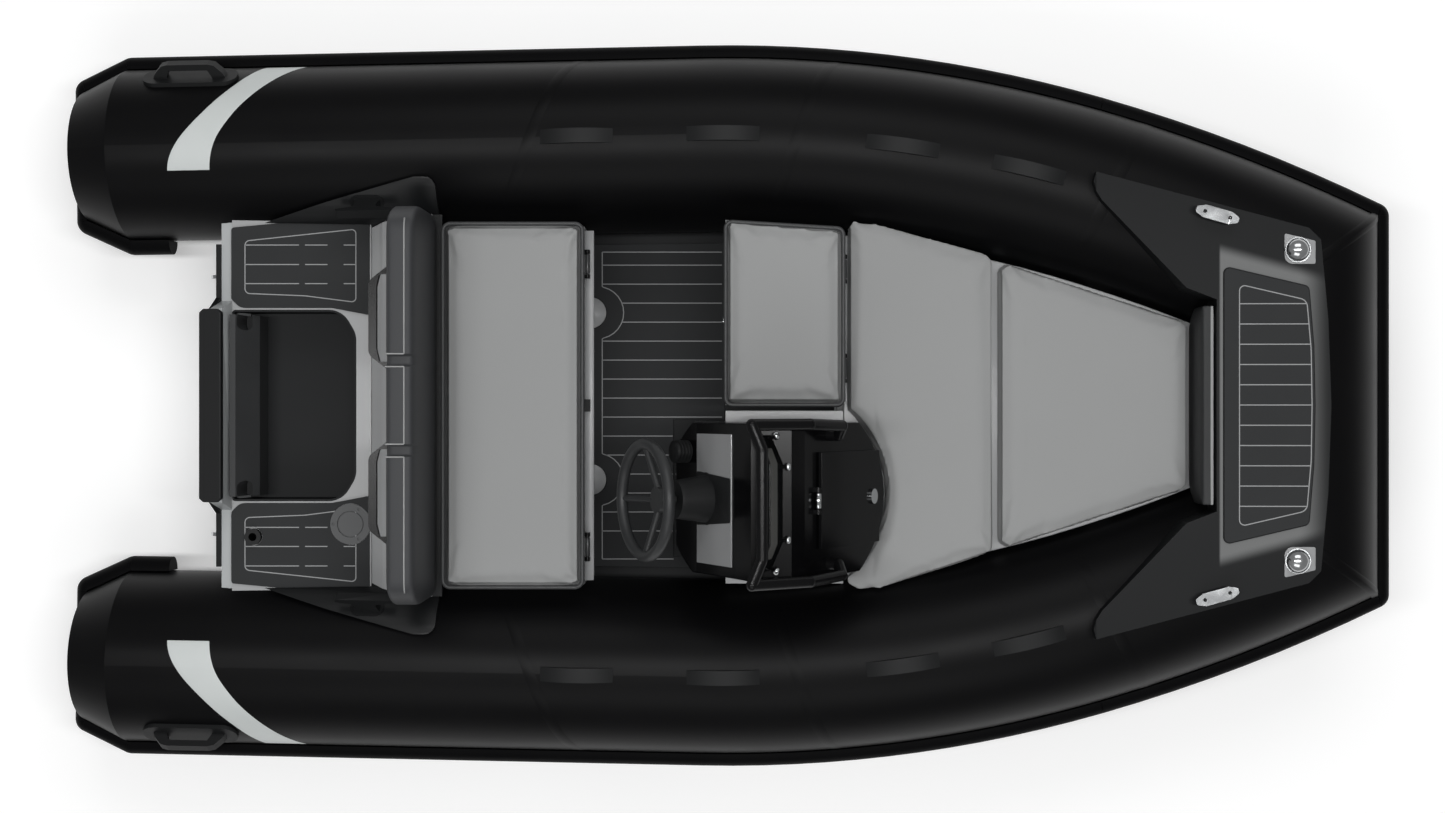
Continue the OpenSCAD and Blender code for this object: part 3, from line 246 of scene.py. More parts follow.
looks = {
    # coated polyester cloth, calendered: a dull sheen over a fine pebble, drawn coarser than life to show
    "coatedTubeCloth": {"dark": "#050506", "light": "#09090a", "driftMm": 260, "grainMm": 3.0, "cells": True,
                        "rough": 0.4, "bump": 0.12, "bumpMm": 0.25, "specular": 0.1},
    # extruded rubber: matt, with faint lengthwise drift
    "strakeRubber": {"dark": "#070708", "light": "#0b0b0c", "driftMm": 180, "grainMm": 2.0, "rough": 0.5,
                     "bump": 0.1, "specular": 0.04},
    # powder-coated aluminium: satin with a slight orange peel
    "coatedAluminium": {"dark": "#a3a6a7", "light": "#adb0b1", "grainMm": 4.0, "rough": 0.42, "bump": 0.08},
    # gelcoat, polished light grey
    "lightGelcoat": {"dark": "#979899", "light": "#a0a1a2", "driftMm": 300, "grainMm": 14.0, "rough": 0.3,
                     "bump": 0.03, "specular": 0.25, "coat": 0.05},
    # gelcoat, satin charcoal
    "darkGelcoat": {"dark": "#252627", "light": "#2b2c2d", "driftMm": 300, "grainMm": 8.0, "rough": 0.36,
                    "bump": 0.04, "coat": 0.15},
    # the nose moulding: charcoal arms, and a painted reflection on the bridge between them: a pale band that fades into
    # the arms and fades out again where the front rolls off
    "noseGelcoat": {"dark": "#161718", "light": "#1b1c1d", "driftMm": 300, "grainMm": 8.0, "rough": 0.42, "bump": 0.04,
                    "specular": 0.1,
                    "patch": {"colour": "#6e6f6f", "edges": [((-0.285, -1.0, 0.0), 0.7007, 0.016),
                                                             ((-1.0, 0.0, 0.0), 1.385, 0.04),
                                                             ((1.0, 0.0, 0.0), -1.166, 0.003)]}},
    # black mouldings of the wings, the well and the deck: dull, with a slight orange peel
    "wingMoulding": {"dark": "#121314", "light": "#18191a", "driftMm": 260, "grainMm": 6.0, "rough": 0.4, "bump": 0.06,
                     "specular": 0.3},
    "wellMoulding": {"dark": "#1d1e1f", "light": "#222324", "driftMm": 260, "grainMm": 6.0, "rough": 0.5, "bump": 0.06,
                     "specular": 0.1},
    # the plinth behind the bench: pale gelcoat, with painted shade: black forward of x = -0.712, in the gap between the
    # backrest and the bench cushion
    "plinthGelcoat": {"dark": "#979899", "light": "#a0a1a2", "driftMm": 300, "grainMm": 14.0, "rough": 0.3,
                      "bump": 0.03, "specular": 0.25, "coat": 0.05,
                      "patch": {"colour": "#1d1e1f", "edges": [((1.0, 0.0, 0.0), 0.712, 0.002)]}},
    # riser pad: pale grey vinyl, with painted shade: charcoal aft of x = 1.149, on its aft face, and the pale tone only
    # on the top roll
    "riserVinyl": {"dark": "#262728", "light": "#2b2c2d", "driftMm": 300, "grainMm": 2.6, "cells": True, "rough": 0.55,
                   "bump": 0.2, "bumpMm": 0.35, "specular": 0.3,
                   "patch": {"colour": "#929393", "edges": [((1.0, 0.0, 0.0), -1.149, 0.0015)]}},
    # stippled non-slip moulding of the well's ledge
    "stippledMoulding": {"dark": "#313233", "light": "#3a3b3c", "driftMm": 60, "grainMm": 2.4, "cells": True,
                         "rough": 0.6, "bump": 0.5, "bumpMm": 0.5, "specular": 0.3},
    # closed-cell foam, brushed: fine fuzzy grain
    "brushedFoam": {"dark": "#2c2d2e", "light": "#333435", "driftMm": 90, "grainMm": 2.2, "rough": 0.8,
                    "bump": 0.5, "bumpMm": 0.3, "specular": 0.2},
    # the pale layer that the router shows in the foam
    "routedFoam": {"dark": "#8f9091", "light": "#9a9b9c", "grainMm": 2.0, "rough": 0.75, "bump": 0.2},
    # marine vinyl, embossed with a small leather grain, drawn coarser than life to show
    "greyVinyl": {"dark": "#8a8b8b", "light": "#929393", "driftMm": 320, "grainMm": 2.6, "cells": True, "rough": 0.58,
                  "bump": 0.22, "bumpMm": 0.35, "specular": 0.35, "sheen": 0.05},
    # the same vinyl in charcoal, a little smoother
    "charcoalVinyl": {"dark": "#37383a", "light": "#404143", "driftMm": 300, "grainMm": 2.6, "cells": True,
                      "rough": 0.5, "bump": 0.22, "bumpMm": 0.35, "specular": 0.2},
    # a thin cord whose pale colour is a painted highlight on the backrest's edges
    "paintedHighlightCord": {"dark": "#8d8e8e", "light": "#989999", "grainMm": 2.0, "rough": 0.45, "bump": 0.15},
    # welt cord in dark vinyl
    "weltVinyl": {"dark": "#2f3031", "light": "#3a3b3c", "grainMm": 2.0, "rough": 0.5, "bump": 0.2},
    # soft polyurethane grip of the wheel: satin, fine grain
    "wheelGrip": {"dark": "#28292a", "light": "#2f3031", "driftMm": 90, "grainMm": 1.8, "rough": 0.42, "bump": 0.12,
                  "bumpMm": 0.2, "specular": 0.35},
    # printed dots along the screen's top edge, drawn coarser than life to show
    "dottedFilm": {"dark": "#3d3d3b", "light": "#50504e", "driftMm": 30, "grainMm": 2.4, "cells": True, "rough": 0.6,
                   "bump": 0.3, "bumpMm": 0.3, "specular": 0.3},
    # glass-filled nylon, moulded: fine spark texture
    "texturedNylon": {"dark": "#0f1011", "light": "#151617", "driftMm": 100, "grainMm": 1.6, "rough": 0.55,
                      "bump": 0.25, "bumpMm": 0.2, "specular": 0.25},
    # the same nylon in mid grey
    "greyNylon": {"dark": "#4c4d4e", "light": "#555657", "driftMm": 60, "grainMm": 1.6, "rough": 0.5, "bump": 0.2,
                  "bumpMm": 0.2, "specular": 0.3},
    # gelcoat, polished black: dark, with clear small glints
    "blackGelcoat": {"dark": "#070708", "light": "#0b0b0c", "driftMm": 200, "grainMm": 22.0, "rough": 0.18,
                     "bump": 0.02, "specular": 0.08, "roughSpread": 0.04},
    # cast acrylic sheet, polished: its mid grey is a painted reflection of light in a dark glossy panel; smooth and
    # even
    "dashAcrylic": {"dark": "#828384", "light": "#8a8b8c", "driftMm": 200, "grainMm": 18.0, "rough": 0.2, "bump": 0.02,
                    "coat": 0.4},
    # polished stainless steel: bright, with a fine directional haze
    "polishedSteel": {"dark": "#b9bbbd", "light": "#d2d4d5", "driftMm": 40, "grainMm": 1.2, "rough": 0.16, "metal": 1.0,
                      "bump": 0.03},
    # powder-coated steel tube, black: satin, with a long soft glint
    "blackTube": {"dark": "#0a0a0b", "light": "#0f0f10", "driftMm": 120, "grainMm": 1.5, "rough": 0.24, "bump": 0.05,
                  "specular": 0.15},
    # cast acrylic, smoked: dark and half clear
    "smokedAcrylic": {"dark": "#0d0e0f", "light": "#121314", "driftMm": 200, "grainMm": 30.0, "rough": 0.2,
                      "bump": 0.01, "clear": 0.35, "ior": 1.49, "specular": 0.12},
    # bonded reflective-grey cloth of the tube stripe
    "stripeCloth": {"dark": "#bfc4c3", "light": "#c9cdcc", "driftMm": 150, "grainMm": 3.0, "cells": True, "rough": 0.5,
                    "bump": 0.1},
}
finishes = {name: surface(name, look) for name, look in looks.items()}

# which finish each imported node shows
nodeFinish = {
    "coatedTubeCloth": [n for n in nodes if n.startswith("tube_")],
    "strakeRubber": ["strake_port", "strake_starboard", "strake_bow"],
    "coatedAluminium": ["hull", "transom"],
    "lightGelcoat": ["aft_deck", "bench_box", "seat_box", "bow_locker", "console_plinth"],
    "wingMoulding": ["aft_wings"],
    "wellMoulding": ["well_tray", "deck_plate"],
    "plinthGelcoat": ["back_plinth"],
    "darkGelcoat": ["bench_lid", "seat_lid"],
    "noseGelcoat": ["nose"],
    "stippledMoulding": ["well_ledge"],
    "wheelGrip": ["steering_wheel"],
    "greyNylon": ["filler_cap"],
    "brushedFoam": ["floor_mat", "step_mats", "nose_mat"],
    "greyVinyl": ["bench_cushion", "seat_cushion", "sunpad_aft", "sunpad_fore", "riser_pad"],
    "charcoalVinyl": ["backrest"],
    "texturedNylon": ["clamp_pad", "transom_trim", "transom_cap", "soft_handles", "lift_handles", "bow_handle",
                      "aft_cleats", "bench_buffer", "helm", "pole_socket"],
    "blackGelcoat": ["console", "console_hatch"],
    "dashAcrylic": ["dash_panel"],
    "polishedSteel": ["towing_eyes", "seat_latch", "bow_cleats", "nav_lights", "hatch_latch"],
    "blackTube": ["backrest_rails", "console_rail", "hinge_pins"],
    "smokedAcrylic": ["windscreen"],
}
for finish, members in nodeFinish.items():
    for member in members:
        nodes[member].data.materials.clear()
        nodes[member].data.materials.append(finishes[finish])
print("stage: finishes set")

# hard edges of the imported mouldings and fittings, eased by a few millimetres so that they catch the light
easedEdges = {
    0.0025: ["console", "console_hatch", "console_plinth", "nose", "aft_deck", "back_plinth", "bench_box", "seat_box",
             "bow_locker", "aft_wings", "well_ledge", "clamp_pad", "transom_cap", "bench_lid", "seat_lid", "transom"],
    0.0015: ["dash_panel", "aft_cleats", "bow_cleats", "floor_mat", "step_mats", "nose_mat", "windscreen", "helm"],
    0.004: ["backrest_rails"],
}
for width, members in easedEdges.items():
    for member in members:
        weld = nodes[member].modifiers.new("weld", "WELD")
        weld.merge_threshold = 0.00002
        ease = nodes[member].modifiers.new("ease", "BEVEL")
        ease.width, ease.segments = width, 2
        ease.limit_method, ease.angle_limit = "ANGLE", math.radians(38)
        ease.use_clamp_overlap = True
print("stage: edges eased")

# cushions: the CAD pad is remeshed, drawn in a little, and swollen by cloth under pressure
pads = {
    "benchCushion": {"node": "bench_cushion", "body": "bench_lid", "cap": 0.009},
    "seatCushion": {"node": "seat_cushion", "body": "seat_lid", "cap": 0.008},
    "sunpadAft": {"node": "sunpad_aft", "body": "boat", "cap": 0.007},
    "sunpadFore": {"node": "sunpad_fore", "body": "boat", "cap": 0.007},
    "riserPad": {"node": "riser_pad", "body": "boat", "cap": 0.006, "finish": "riserVinyl"},
}
padSettings = {"voxel": 0.006, "inset": 0.004, "pressure": 4.0, "frames": 20, "fill": 0.8}


def meshPoints(mesh):
    flat = np.empty(len(mesh.vertices) * 3, np.float32)
    mesh.vertices.foreach_get("co", flat)
    return flat.reshape(-1, 3).astype(float)


def meshNormals(mesh):
    flat = np.empty(len(mesh.vertices) * 3, np.float32)
    mesh.vertex_normals.foreach_get("vector", flat)
    return flat.reshape(-1, 3).astype(float)


def swollenPad(name, pad):
    mesh = nodes[pad["node"]].data.copy()
    work = bmesh.new()
    work.from_mesh(mesh)
    bmesh.ops.remove_doubles(work, verts=work.verts, dist=1e-5)
    work.to_mesh(mesh)
    work.free()
    piece = bpy.data.objects.new(name, mesh)
    scene.collection.objects.link(piece)
    remesh = piece.modifiers.new("remesh", "REMESH")
    remesh.mode, remesh.voxel_size = "VOXEL", padSettings["voxel"]
    bpy.context.view_layer.update()
    base = bpy.data.meshes.new_from_object(piece.evaluated_get(bpy.context.evaluated_depsgraph_get()))
    piece.modifiers.clear()
    piece.data = base
    normals = meshNormals(base)
    under = normals[:, 2] < -0.7
    start = meshPoints(base) - normals * padSettings["inset"] * ~under[:, None]
    base.vertices.foreach_set("co", start.astype(np.float32).ravel())
    held = piece.vertex_groups.new(name="held")
    held.add(np.flatnonzero(under).tolist(), 1.0, "REPLACE")
    cloth = piece.modifiers.new("cloth", "CLOTH")
    cloth.settings.quality = 4
    cloth.settings.mass = 0.3
    cloth.settings.use_pressure = True
    cloth.settings.uniform_pressure_force = padSettings["pressure"]
    cloth.settings.effector_weights.gravity = 0.0
    cloth.settings.vertex_group_mass = "held"
    cloth.collision_settings.use_self_collision = False
    cloth.point_cache.frame_end = padSettings["frames"]
    for step in range(1, padSettings["frames"] + 1):
        scene.frame_set(step)
    swollen = bpy.data.meshes.new_from_object(piece.evaluated_get(bpy.context.evaluated_depsgraph_get()))
    piece.modifiers.clear()
    move = meshPoints(swollen) - start
    far = np.linalg.norm(move, axis=1, keepdims=True)
    end = start + move * np.minimum(1.0, pad["cap"] / np.maximum(far, 1e-9))
    base.vertices.foreach_set("co", end.astype(np.float32).ravel())
    bpy.data.meshes.remove(swollen)
    scene.frame_set(1)
    piece.vertex_groups.clear()
    base.polygons.foreach_set("use_smooth", np.ones(len(base.polygons), bool))
    base.materials.clear()
    base.materials.append(finishes[pad.get("finish", "greyVinyl")])
    base.update()
    smooth = piece.modifiers.new("smooth", "SMOOTH")
    smooth.factor, smooth.iterations = 0.5, 3
    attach(piece, pad["body"])
    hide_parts(pad["node"])
    return piece


for name, pad in pads.items():
    swollenPad(name, pad)
    print("stage: pad", name)

# welts round the bench and seat cushions' top edges, a round profile along the cushion's outline
welts = {
    "benchWelt": {"corners": [[-0.676, -0.438], [-0.340, -0.438], [-0.340, 0.438], [-0.676, 0.438]], "r": 0.018,
                  "z": 0.444, "body": "bench_lid"},
    "seatWelt": {"corners": [[0.005, 0.001], [0.286, 0.001], [0.286, 0.4225], [0.005, 0.4395]], "r": 0.016,
                 "z": 0.486, "body": "seat_lid"},
}
weltRadius = 0.005
weltRing = roundProfile(weltRadius, 10)
for name, welt in welts.items():
    plan = roundedPath(welt["corners"], welt["r"])
    path = np.column_stack([plan, np.full(len(plan), welt["z"])])
    points, faces = sweep(path, [0.0, 0.0, 1.0], weltRing, True)
    makePiece(name, points, faces, finishes["weltVinyl"], welt["body"])

# backrest: a rounded section in x and z carried along y, with two dips in its top and ends that round off
back = {"x": (-0.767, -0.697), "z": (0.376, 0.750), "y": 0.466, "dips": (-0.102, 0.102), "dipWide": 0.0125,
        "dipDeep": 0.012, "power": 7.0, "drop": 0.09, "dropFrom": 0.40, "dropOver": 0.066}


# how far the backrest's top falls at its ends: a power curve of the distance past the start of the drop
def cornerFall(y):
    return back["drop"] * np.clip((np.abs(y) - back["dropFrom"]) / back["dropOver"], 0, 1) ** 2.2


groove = np.concatenate([d + np.linspace(-0.02, 0.02, 25) for d in back["dips"]])
y = np.unique(np.round(np.concatenate([np.linspace(-back["y"], back["y"], 141), groove]), 5))
v = y / back["y"]
u = np.linspace(0, 2 * np.pi, 72, endpoint=False)
power = 2 / back["power"]
sideX = np.sign(np.cos(u)) * np.abs(np.cos(u)) ** power
sideZ = np.sign(np.sin(u)) * np.abs(np.sin(u)) ** power
endRound = (1 - np.abs(v) ** 24) ** (1 / 6)
dip = sum(back["dipDeep"] * np.exp(-((y - d) / back["dipWide"]) ** 12) for d in back["dips"])
midX, halfX = sum(back["x"]) / 2, (back["x"][1] - back["x"][0]) / 2
top = back["z"][1] - cornerFall(y) - dip
midZ, halfZ = (top + back["z"][0]) / 2, (top - back["z"][0]) / 2
points = np.stack([midX + halfX * endRound[:, None] * sideX[None], np.broadcast_to(y[:, None], (len(v), len(u))),
                   midZ[:, None] + (halfZ * endRound)[:, None] * sideZ[None]], -1)
faces = gridFaces(len(v), len(u), False, True).tolist()
faces += [list(range(len(u))), [(len(v) - 1) * len(u) + k for k in range(len(u))]]
backPad = makePiece("backrestPad", points, faces, finishes["charcoalVinyl"], "boat")
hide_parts("backrest")

# painted highlight on the backrest: a thin pale round cord along each section's top near its front edge and across its
# ends at the two dips
highlightCords = {"x": (-0.764, -0.721), "r": 0.0018, "sunk": 0.0004,
          "sections": ((-0.424, -0.1165), (-0.0875, 0.0875), (0.1165, 0.424))}
cord = roundProfile(highlightCords["r"], 8)
parts = []
for low, high in highlightCords["sections"]:
    run = [[highlightCords["x"][1], low], [highlightCords["x"][1], high]]
    ends = [[[highlightCords["x"][0], end], [highlightCords["x"][1], end]] for end in (low, high) if abs(end) < 0.2]
    for a, b in [run] + ends:
        plan = np.array(a) + (np.array(b) - np.array(a)) * np.linspace(0, 1, 24)[:, None]
        path = np.column_stack([plan, back["z"][1] - cornerFall(plan[:, 1]) - highlightCords["sunk"]])
        parts.append(sweep(path, [0.0, 0.0, 1.0], cord, False))
points, faces = joined(parts)
makePiece("backrestHighlightCord", points, faces, finishes["paintedHighlightCord"], "boat")
print("stage: welts and backrest")


# tube surface: station x and angle from the crest, positive outboard, to a point on the port or starboard tube
tube = {"r": 0.215, "bendX": -0.05, "halfY": 0.65,
        "toe": math.radians(0.77), "bendR": 3.095, "foreX": 0.8707, "foreR": 3.992, "foreA": math.radians(16.5)}


# the axis in plan: straight aft, then two arcs; gives its y and its heading
def tubeAxis(x):
    c1 = np.array([tube["bendX"] + tube["bendR"] * math.sin(tube["toe"]),
                   tube["halfY"] - tube["bendR"] * math.cos(tube["toe"])])
    c2 = c1 + (tube["bendR"] - tube["foreR"]) * np.array([math.sin(tube["foreA"]), math.cos(tube["foreA"])])
    x = np.asarray(x, float)
    mid = c1[1] + np.sqrt(np.maximum(tube["bendR"] ** 2 - (x - c1[0]) ** 2, 0))
    fore = c2[1] + np.sqrt(np.maximum(tube["foreR"] ** 2 - (x - c2[0]) ** 2, 0))
    aft = tube["halfY"] - (tube["bendX"] - x) * math.tan(tube["toe"])
    y = np.where(x < tube["bendX"], aft, np.where(x < tube["foreX"], mid, fore))
    midTurn, foreTurn = np.arcsin((x - c1[0]) / tube["bendR"]), np.arcsin((x - c2[0]) / tube["foreR"])
    turn = np.where(x < tube["bendX"], -tube["toe"], np.where(x < tube["foreX"], midTurn, foreTurn))
    return y, turn


def onTube(x, angle, lift, side):
    y, turn = tubeAxis(x)
    r = tube["r"] + lift
    out, up = r * np.sin(angle), r * np.cos(angle)
    return pitched(np.stack(np.broadcast_arrays(x + out * np.sin(turn), side * (y + out * np.cos(turn)), up), -1))


# a patch on the tube: a grid over (along, round) whose edges are given, a little proud, with its rim turned down
def tubePatch(xs, angles, side, proud=0.0009):
    nu, nv = xs.shape
    rimU = np.minimum(np.arange(nu), np.arange(nu)[::-1])[:, None]
    rimV = np.minimum(np.arange(nv), np.arange(nv)[::-1])[None]
    lift = np.where(np.minimum(rimU, rimV) == 0, 0.0002, proud)
    return onTube(xs, angles, lift, side).reshape(-1, 3), gridFaces(nu, nv)


# the S-shaped stripe on the aft tubes: left and right edges as stations against the angle
stripe = {"angle": (-17.0, -8.0, 4.0, 24.0, 44.0, 60.0, 74.0),
          "aft": (-1.344, -1.338, -1.312, -1.248, -1.189, -1.155, -1.135),
          "fore": (-1.240, -1.236, -1.222, -1.172, -1.112, -1.066, -1.031)}
roundAngle = np.linspace(stripe["angle"][0], stripe["angle"][-1], 60)
edgeAft, edgeFore = (np.interp(roundAngle, stripe["angle"], stripe[k]) for k in ("aft", "fore"))
kernel = np.hanning(15) / np.hanning(15).sum()
edgeAft, edgeFore = (np.convolve(np.pad(e, 7, "edge"), kernel, "valid") for e in (edgeAft, edgeFore))
across = np.linspace(0, 1, 14)[:, None]
stripeX = edgeAft[None] + (edgeFore - edgeAft)[None] * across
stripeAngle = np.broadcast_to(np.radians(roundAngle)[None], stripeX.shape)
for side, word in ((1, "Port"), (-1, "Starboard")):
    points, faces = tubePatch(stripeX, stripeAngle, side)
    makePiece("tubeStripe" + word, points, faces, finishes["stripeCloth"], "boat")

# seam tapes: bands round the tube, slanted along it, straight in station and angle
seams = {"aftJoin": {"from": (-0.545, -60.0), "to": (-0.345, 78.0)},
         "midJoin": {"from": (0.125, -60.0), "to": (0.265, 78.0)},
         "foreJoin": {"from": (0.905, -40.0), "to": (0.975, 78.0)}}
tapeWide = 0.028
for side, word in ((1, "Port"), (-1, "Starboard")):
    parts = []
    for seam in seams.values():
        angle = np.linspace(seam["from"][1], seam["to"][1], 40)
        middle = np.linspace(seam["from"][0], seam["to"][0], 40)
        xs = middle[None] + tapeWide * np.linspace(-0.5, 0.5, 5)[:, None]
        points, faces = tubePatch(xs, np.broadcast_to(np.radians(angle)[None], xs.shape), side)
        parts.append((points, faces.tolist()))
    points, faces = joined(parts)
    makePiece("seamTapes" + word, points, faces, finishes["coatedTubeCloth"], "boat")

# seam tape over the mitre of the bow tube: a band along the mitre's ellipse, straight down each tube from it
bowSeam = {"x": 1.390, "y": 0.329, "turn": math.radians(24.46), "half": math.radians(32.77), "wide": 0.016,
           "proud": 0.0014}
parts = []
across = np.linspace(-1, 1, 9)[None] * bowSeam["wide"]
angle = np.radians(np.linspace(-62, 92, 48))[:, None]
radius = tube["r"] + np.where(np.abs(across) > 0.99 * bowSeam["wide"], 0.0002, bowSeam["proud"])
out, up = radius * np.sin(angle), radius * np.cos(angle)
behind = np.maximum(across, 0)
px = bowSeam["x"] + out - behind * math.cos(bowSeam["turn"])
py = bowSeam["y"] + out * math.tan(bowSeam["half"]) + np.minimum(across, 0) + behind * math.sin(bowSeam["turn"])
for side in (1, -1):
    parts.append((pitched(np.stack([px, side * py, up], -1)).reshape(-1, 3), gridFaces(*px.shape).tolist()))
points, faces = joined(parts)
makePiece("bowSeamTapes", points, faces, finishes["coatedTubeCloth"], "boat")
print("stage: stripes and seams")


# routed lines in the foam mats: a flat low profile along each line
lineHalf, lineHigh, lineProud = 0.0014, 0.0005, 0.0003
lineProfile = np.array([[-lineHalf, -lineHigh], [lineHalf, -lineHigh],
                        [lineHalf * 0.8, lineHigh], [-lineHalf * 0.8, lineHigh]])


def matLines(name, lines, height):
    parts = []
    for plan, closed in lines:
        plan = np.asarray(plan, float)
        path = np.column_stack([plan, height(plan[:, 0])])
        parts.append(sweep(path, [0.0, 0.0, 1.0], lineProfile, closed))
    points, faces = joined(parts)
    return makePiece(name, points, faces, finishes["routedFoam"], "boat", smooth=False)


# where a straight line y = const lies inside a closed outline
def clipLine(outline, y, lo=-9.0, hi=9.0):
    a, b = np.asarray(outline), np.roll(np.asarray(outline), -1, 0)
    hit = (a[:, 1] - y) * (b[:, 1] - y) < 0
    t = (y - a[hit, 1]) / (b[hit, 1] - a[hit, 1])
    xs = np.sort(a[hit, 0] + t * (b[hit, 0] - a[hit, 0]))
    spans = [(max(p, lo), min(q, hi)) for p, q in zip(xs[::2], xs[1::2])]
    return [np.column_stack([np.linspace(p, q, 3), np.full(3, y)]) for p, q in spans if q - p > 0.004]


floor = {"z": 0.046, "pitch": 0.0495, "x": (-0.316, -0.004), "y": 0.40,
         "scallops": ((0.242, 0.068), (-0.193, 0.068))}
edge = [[floor["x"][0], -floor["y"]]]
for mid, r in sorted(floor["scallops"]):
    turn = np.linspace(-np.pi / 2, np.pi / 2, 15)
    edge += [[floor["x"][0] + max(0.0, r * math.cos(a) - 0.012), mid + r * math.sin(a)] for a in turn]
edge += [[floor["x"][0], floor["y"]]]
border = np.array(edge)
lines = [(border, False), ([[floor["x"][0], floor["y"]], [floor["x"][1], floor["y"]]], False),
         ([[floor["x"][0], -floor["y"]], [-0.13, -floor["y"]]], False)]
for k in range(-7, 9):
    y = 0.0195 + floor["pitch"] * k
    if abs(y) < floor["y"] - 0.006:
        start = np.interp(y, border[:, 1], border[:, 0])
        stop = floor["x"][1] if y > -0.032 else -0.132
        lines.append(([[start, y], [stop, y]], False))
matLines("floorMatLines", lines, lambda x: np.full(len(x), floor["z"] + lineProud))

noseMat = {"outline": [[1.210, -0.284], [1.366, -0.247], [1.376, -0.13], [1.378, 0.0],
                       [1.376, 0.13], [1.366, 0.247], [1.210, 0.284]],
           "pitch": 0.0475, "top": 0.256}
outline = roundedPath(noseMat["outline"], [0.012, 0.02, 0.3, 0.3, 0.3, 0.02, 0.012])
planks = [span for k in range(-6, 7) for span in clipLine(outline, noseMat["pitch"] * k + 0.001)]
lines = [(outline, True)] + [(span, False) for span in planks]
pitch = collar["pitch"]
noseLevel = collar["height"] + noseMat["top"] / math.cos(pitch) + lineProud
matLines("noseMatLines", lines, lambda x: noseLevel + np.asarray(x) * math.tan(pitch))

step = {"outline": [[-1.178, 0.276], [-1.178, 0.405], [-0.905, 0.434], [-0.905, 0.254], [-1.03, 0.270]],
        "z": 0.3363,
        "planks": (0.300, 0.347, 0.395), "gaps": ((-1.045, -1.03), (-0.975, -0.935))}
for side, word in ((1, "Port"), (-1, "Starboard")):
    outline = roundedPath(step["outline"], [0.012, 0.012, 0.01, 0.01, 0.1])
    lines = [(outline * [1, side], True)]
    for y in step["planks"]:
        for span in clipLine(outline, y):
            ends = [span[0, 0], *[g for gap in step["gaps"] for g in gap], span[-1, 0]]
            lines += [([[p, side * y], [q, side * y]], False) for p, q in zip(ends[::2], ends[1::2])]
    matLines("stepMatLines" + word, lines, lambda x: np.full(len(x), step["z"]))
print("stage: mat lines")

# pale ledge along the bench's front, a rounded profile carried across, and two half-round feet
# at the mat's scallops
ledge = {"x": -0.329, "z": 0.356, "half": 0.428, "feet": (0.242, -0.193), "footR": 0.0405, "footX": -0.3465}
ledgeProfile = [[-0.0115, -0.004], [0.009, -0.004], [0.0115, -0.0015], [0.0115, 0.0022], [0.0098, 0.004],
                [-0.0115, 0.004]]
run = np.column_stack([np.full(9, ledge["x"]), np.linspace(-ledge["half"], ledge["half"], 9),
                       np.full(9, ledge["z"])])
parts = [sweep(run, [0.0, 0.0, 1.0], ledgeProfile, False)]
turn = np.linspace(-1.42, 1.42, 21)
for y in ledge["feet"]:
    outline = np.column_stack([ledge["footX"] + ledge["footR"] * np.cos(turn), y + ledge["footR"] * np.sin(turn)])
    parts.append(plate(outline, lambda p: p, 0.040, 0.0455, 0.0008))
points, faces = joined(parts)
makePiece("benchLedge", points, faces, finishes["lightGelcoat"], "boat")

# steel bolts through the windscreen: a turned head along the pane's normal
bolts = {"places": ((0.103, -0.0715), (0.128, -0.135), (0.128, -0.295), (0.103, -0.3585)), "z": 0.872,
         "yaw": (-0.35, 0.0, 0.0, 0.35)}
boltProfile = [[0.0045, -0.006], [0.0045, 0.010], [0.0085, 0.010], [0.0085, 0.017], [0.006, 0.020], [0.0008, 0.0205]]
parts = [turned(boltProfile, [x, y, bolts["z"]], [math.cos(yaw) * 0.94, -math.sin(yaw), 0.34], 18)
         for (x, y), yaw in zip(bolts["places"], bolts["yaw"])]
points, faces = joined(parts)
makePiece("screenBolts", points, faces, finishes["polishedSteel"], "boat")

# ribbed boot on the console's knee: radius waves along its axis
boot = {"at": (-0.086, -0.108, 0.562), "axis": (-0.85, 0.0, 0.52), "r": 0.024, "long": 0.034, "ribs": 4}
t = np.linspace(0, 1, 33)
bootProfile = np.column_stack([boot["r"] + 0.003 * np.cos(t * boot["ribs"] * 2 * np.pi), t * boot["long"]])
bootProfile = np.vstack([[0.001, 0.0], bootProfile, [0.001, boot["long"]]])
points, faces = turned(bootProfile, boot["at"], boot["axis"], 28)
makePiece("controlBoot", points, faces, finishes["texturedNylon"], "boat")

# helm surround: a plate on the dash that narrows upwards; a runs up the dash, b across it, c off it
dash = {"foot": (-0.063, -0.215, 0.600), "lean": math.radians(63), "low": 0.010, "high": 0.181,
        "wide": (0.063, 0.050)}
acrossBoat = np.array([0.0, 1.0, 0.0])


def onDash(points):
    a, b, c = points[:, 0], points[:, 1], points[:, 2]
    up = np.array([math.cos(dash["lean"]), 0.0, math.sin(dash["lean"])])
    off = np.array([-math.sin(dash["lean"]), 0.0, math.cos(dash["lean"])])
    return np.array(dash["foot"]) + a[:, None] * up + b[:, None] * acrossBoat + c[:, None] * off


wide = dash["wide"]
outline = roundedPath([[dash["low"], -wide[0]], [dash["high"], -wide[1]], [dash["high"], wide[1]],
                       [dash["low"], wide[0]]], 0.008)
points, faces = plate(outline, onDash, 0.0042, 0.0062, 0.0006)
makePiece("helmSurround", points, faces, finishes["texturedNylon"], "boat")

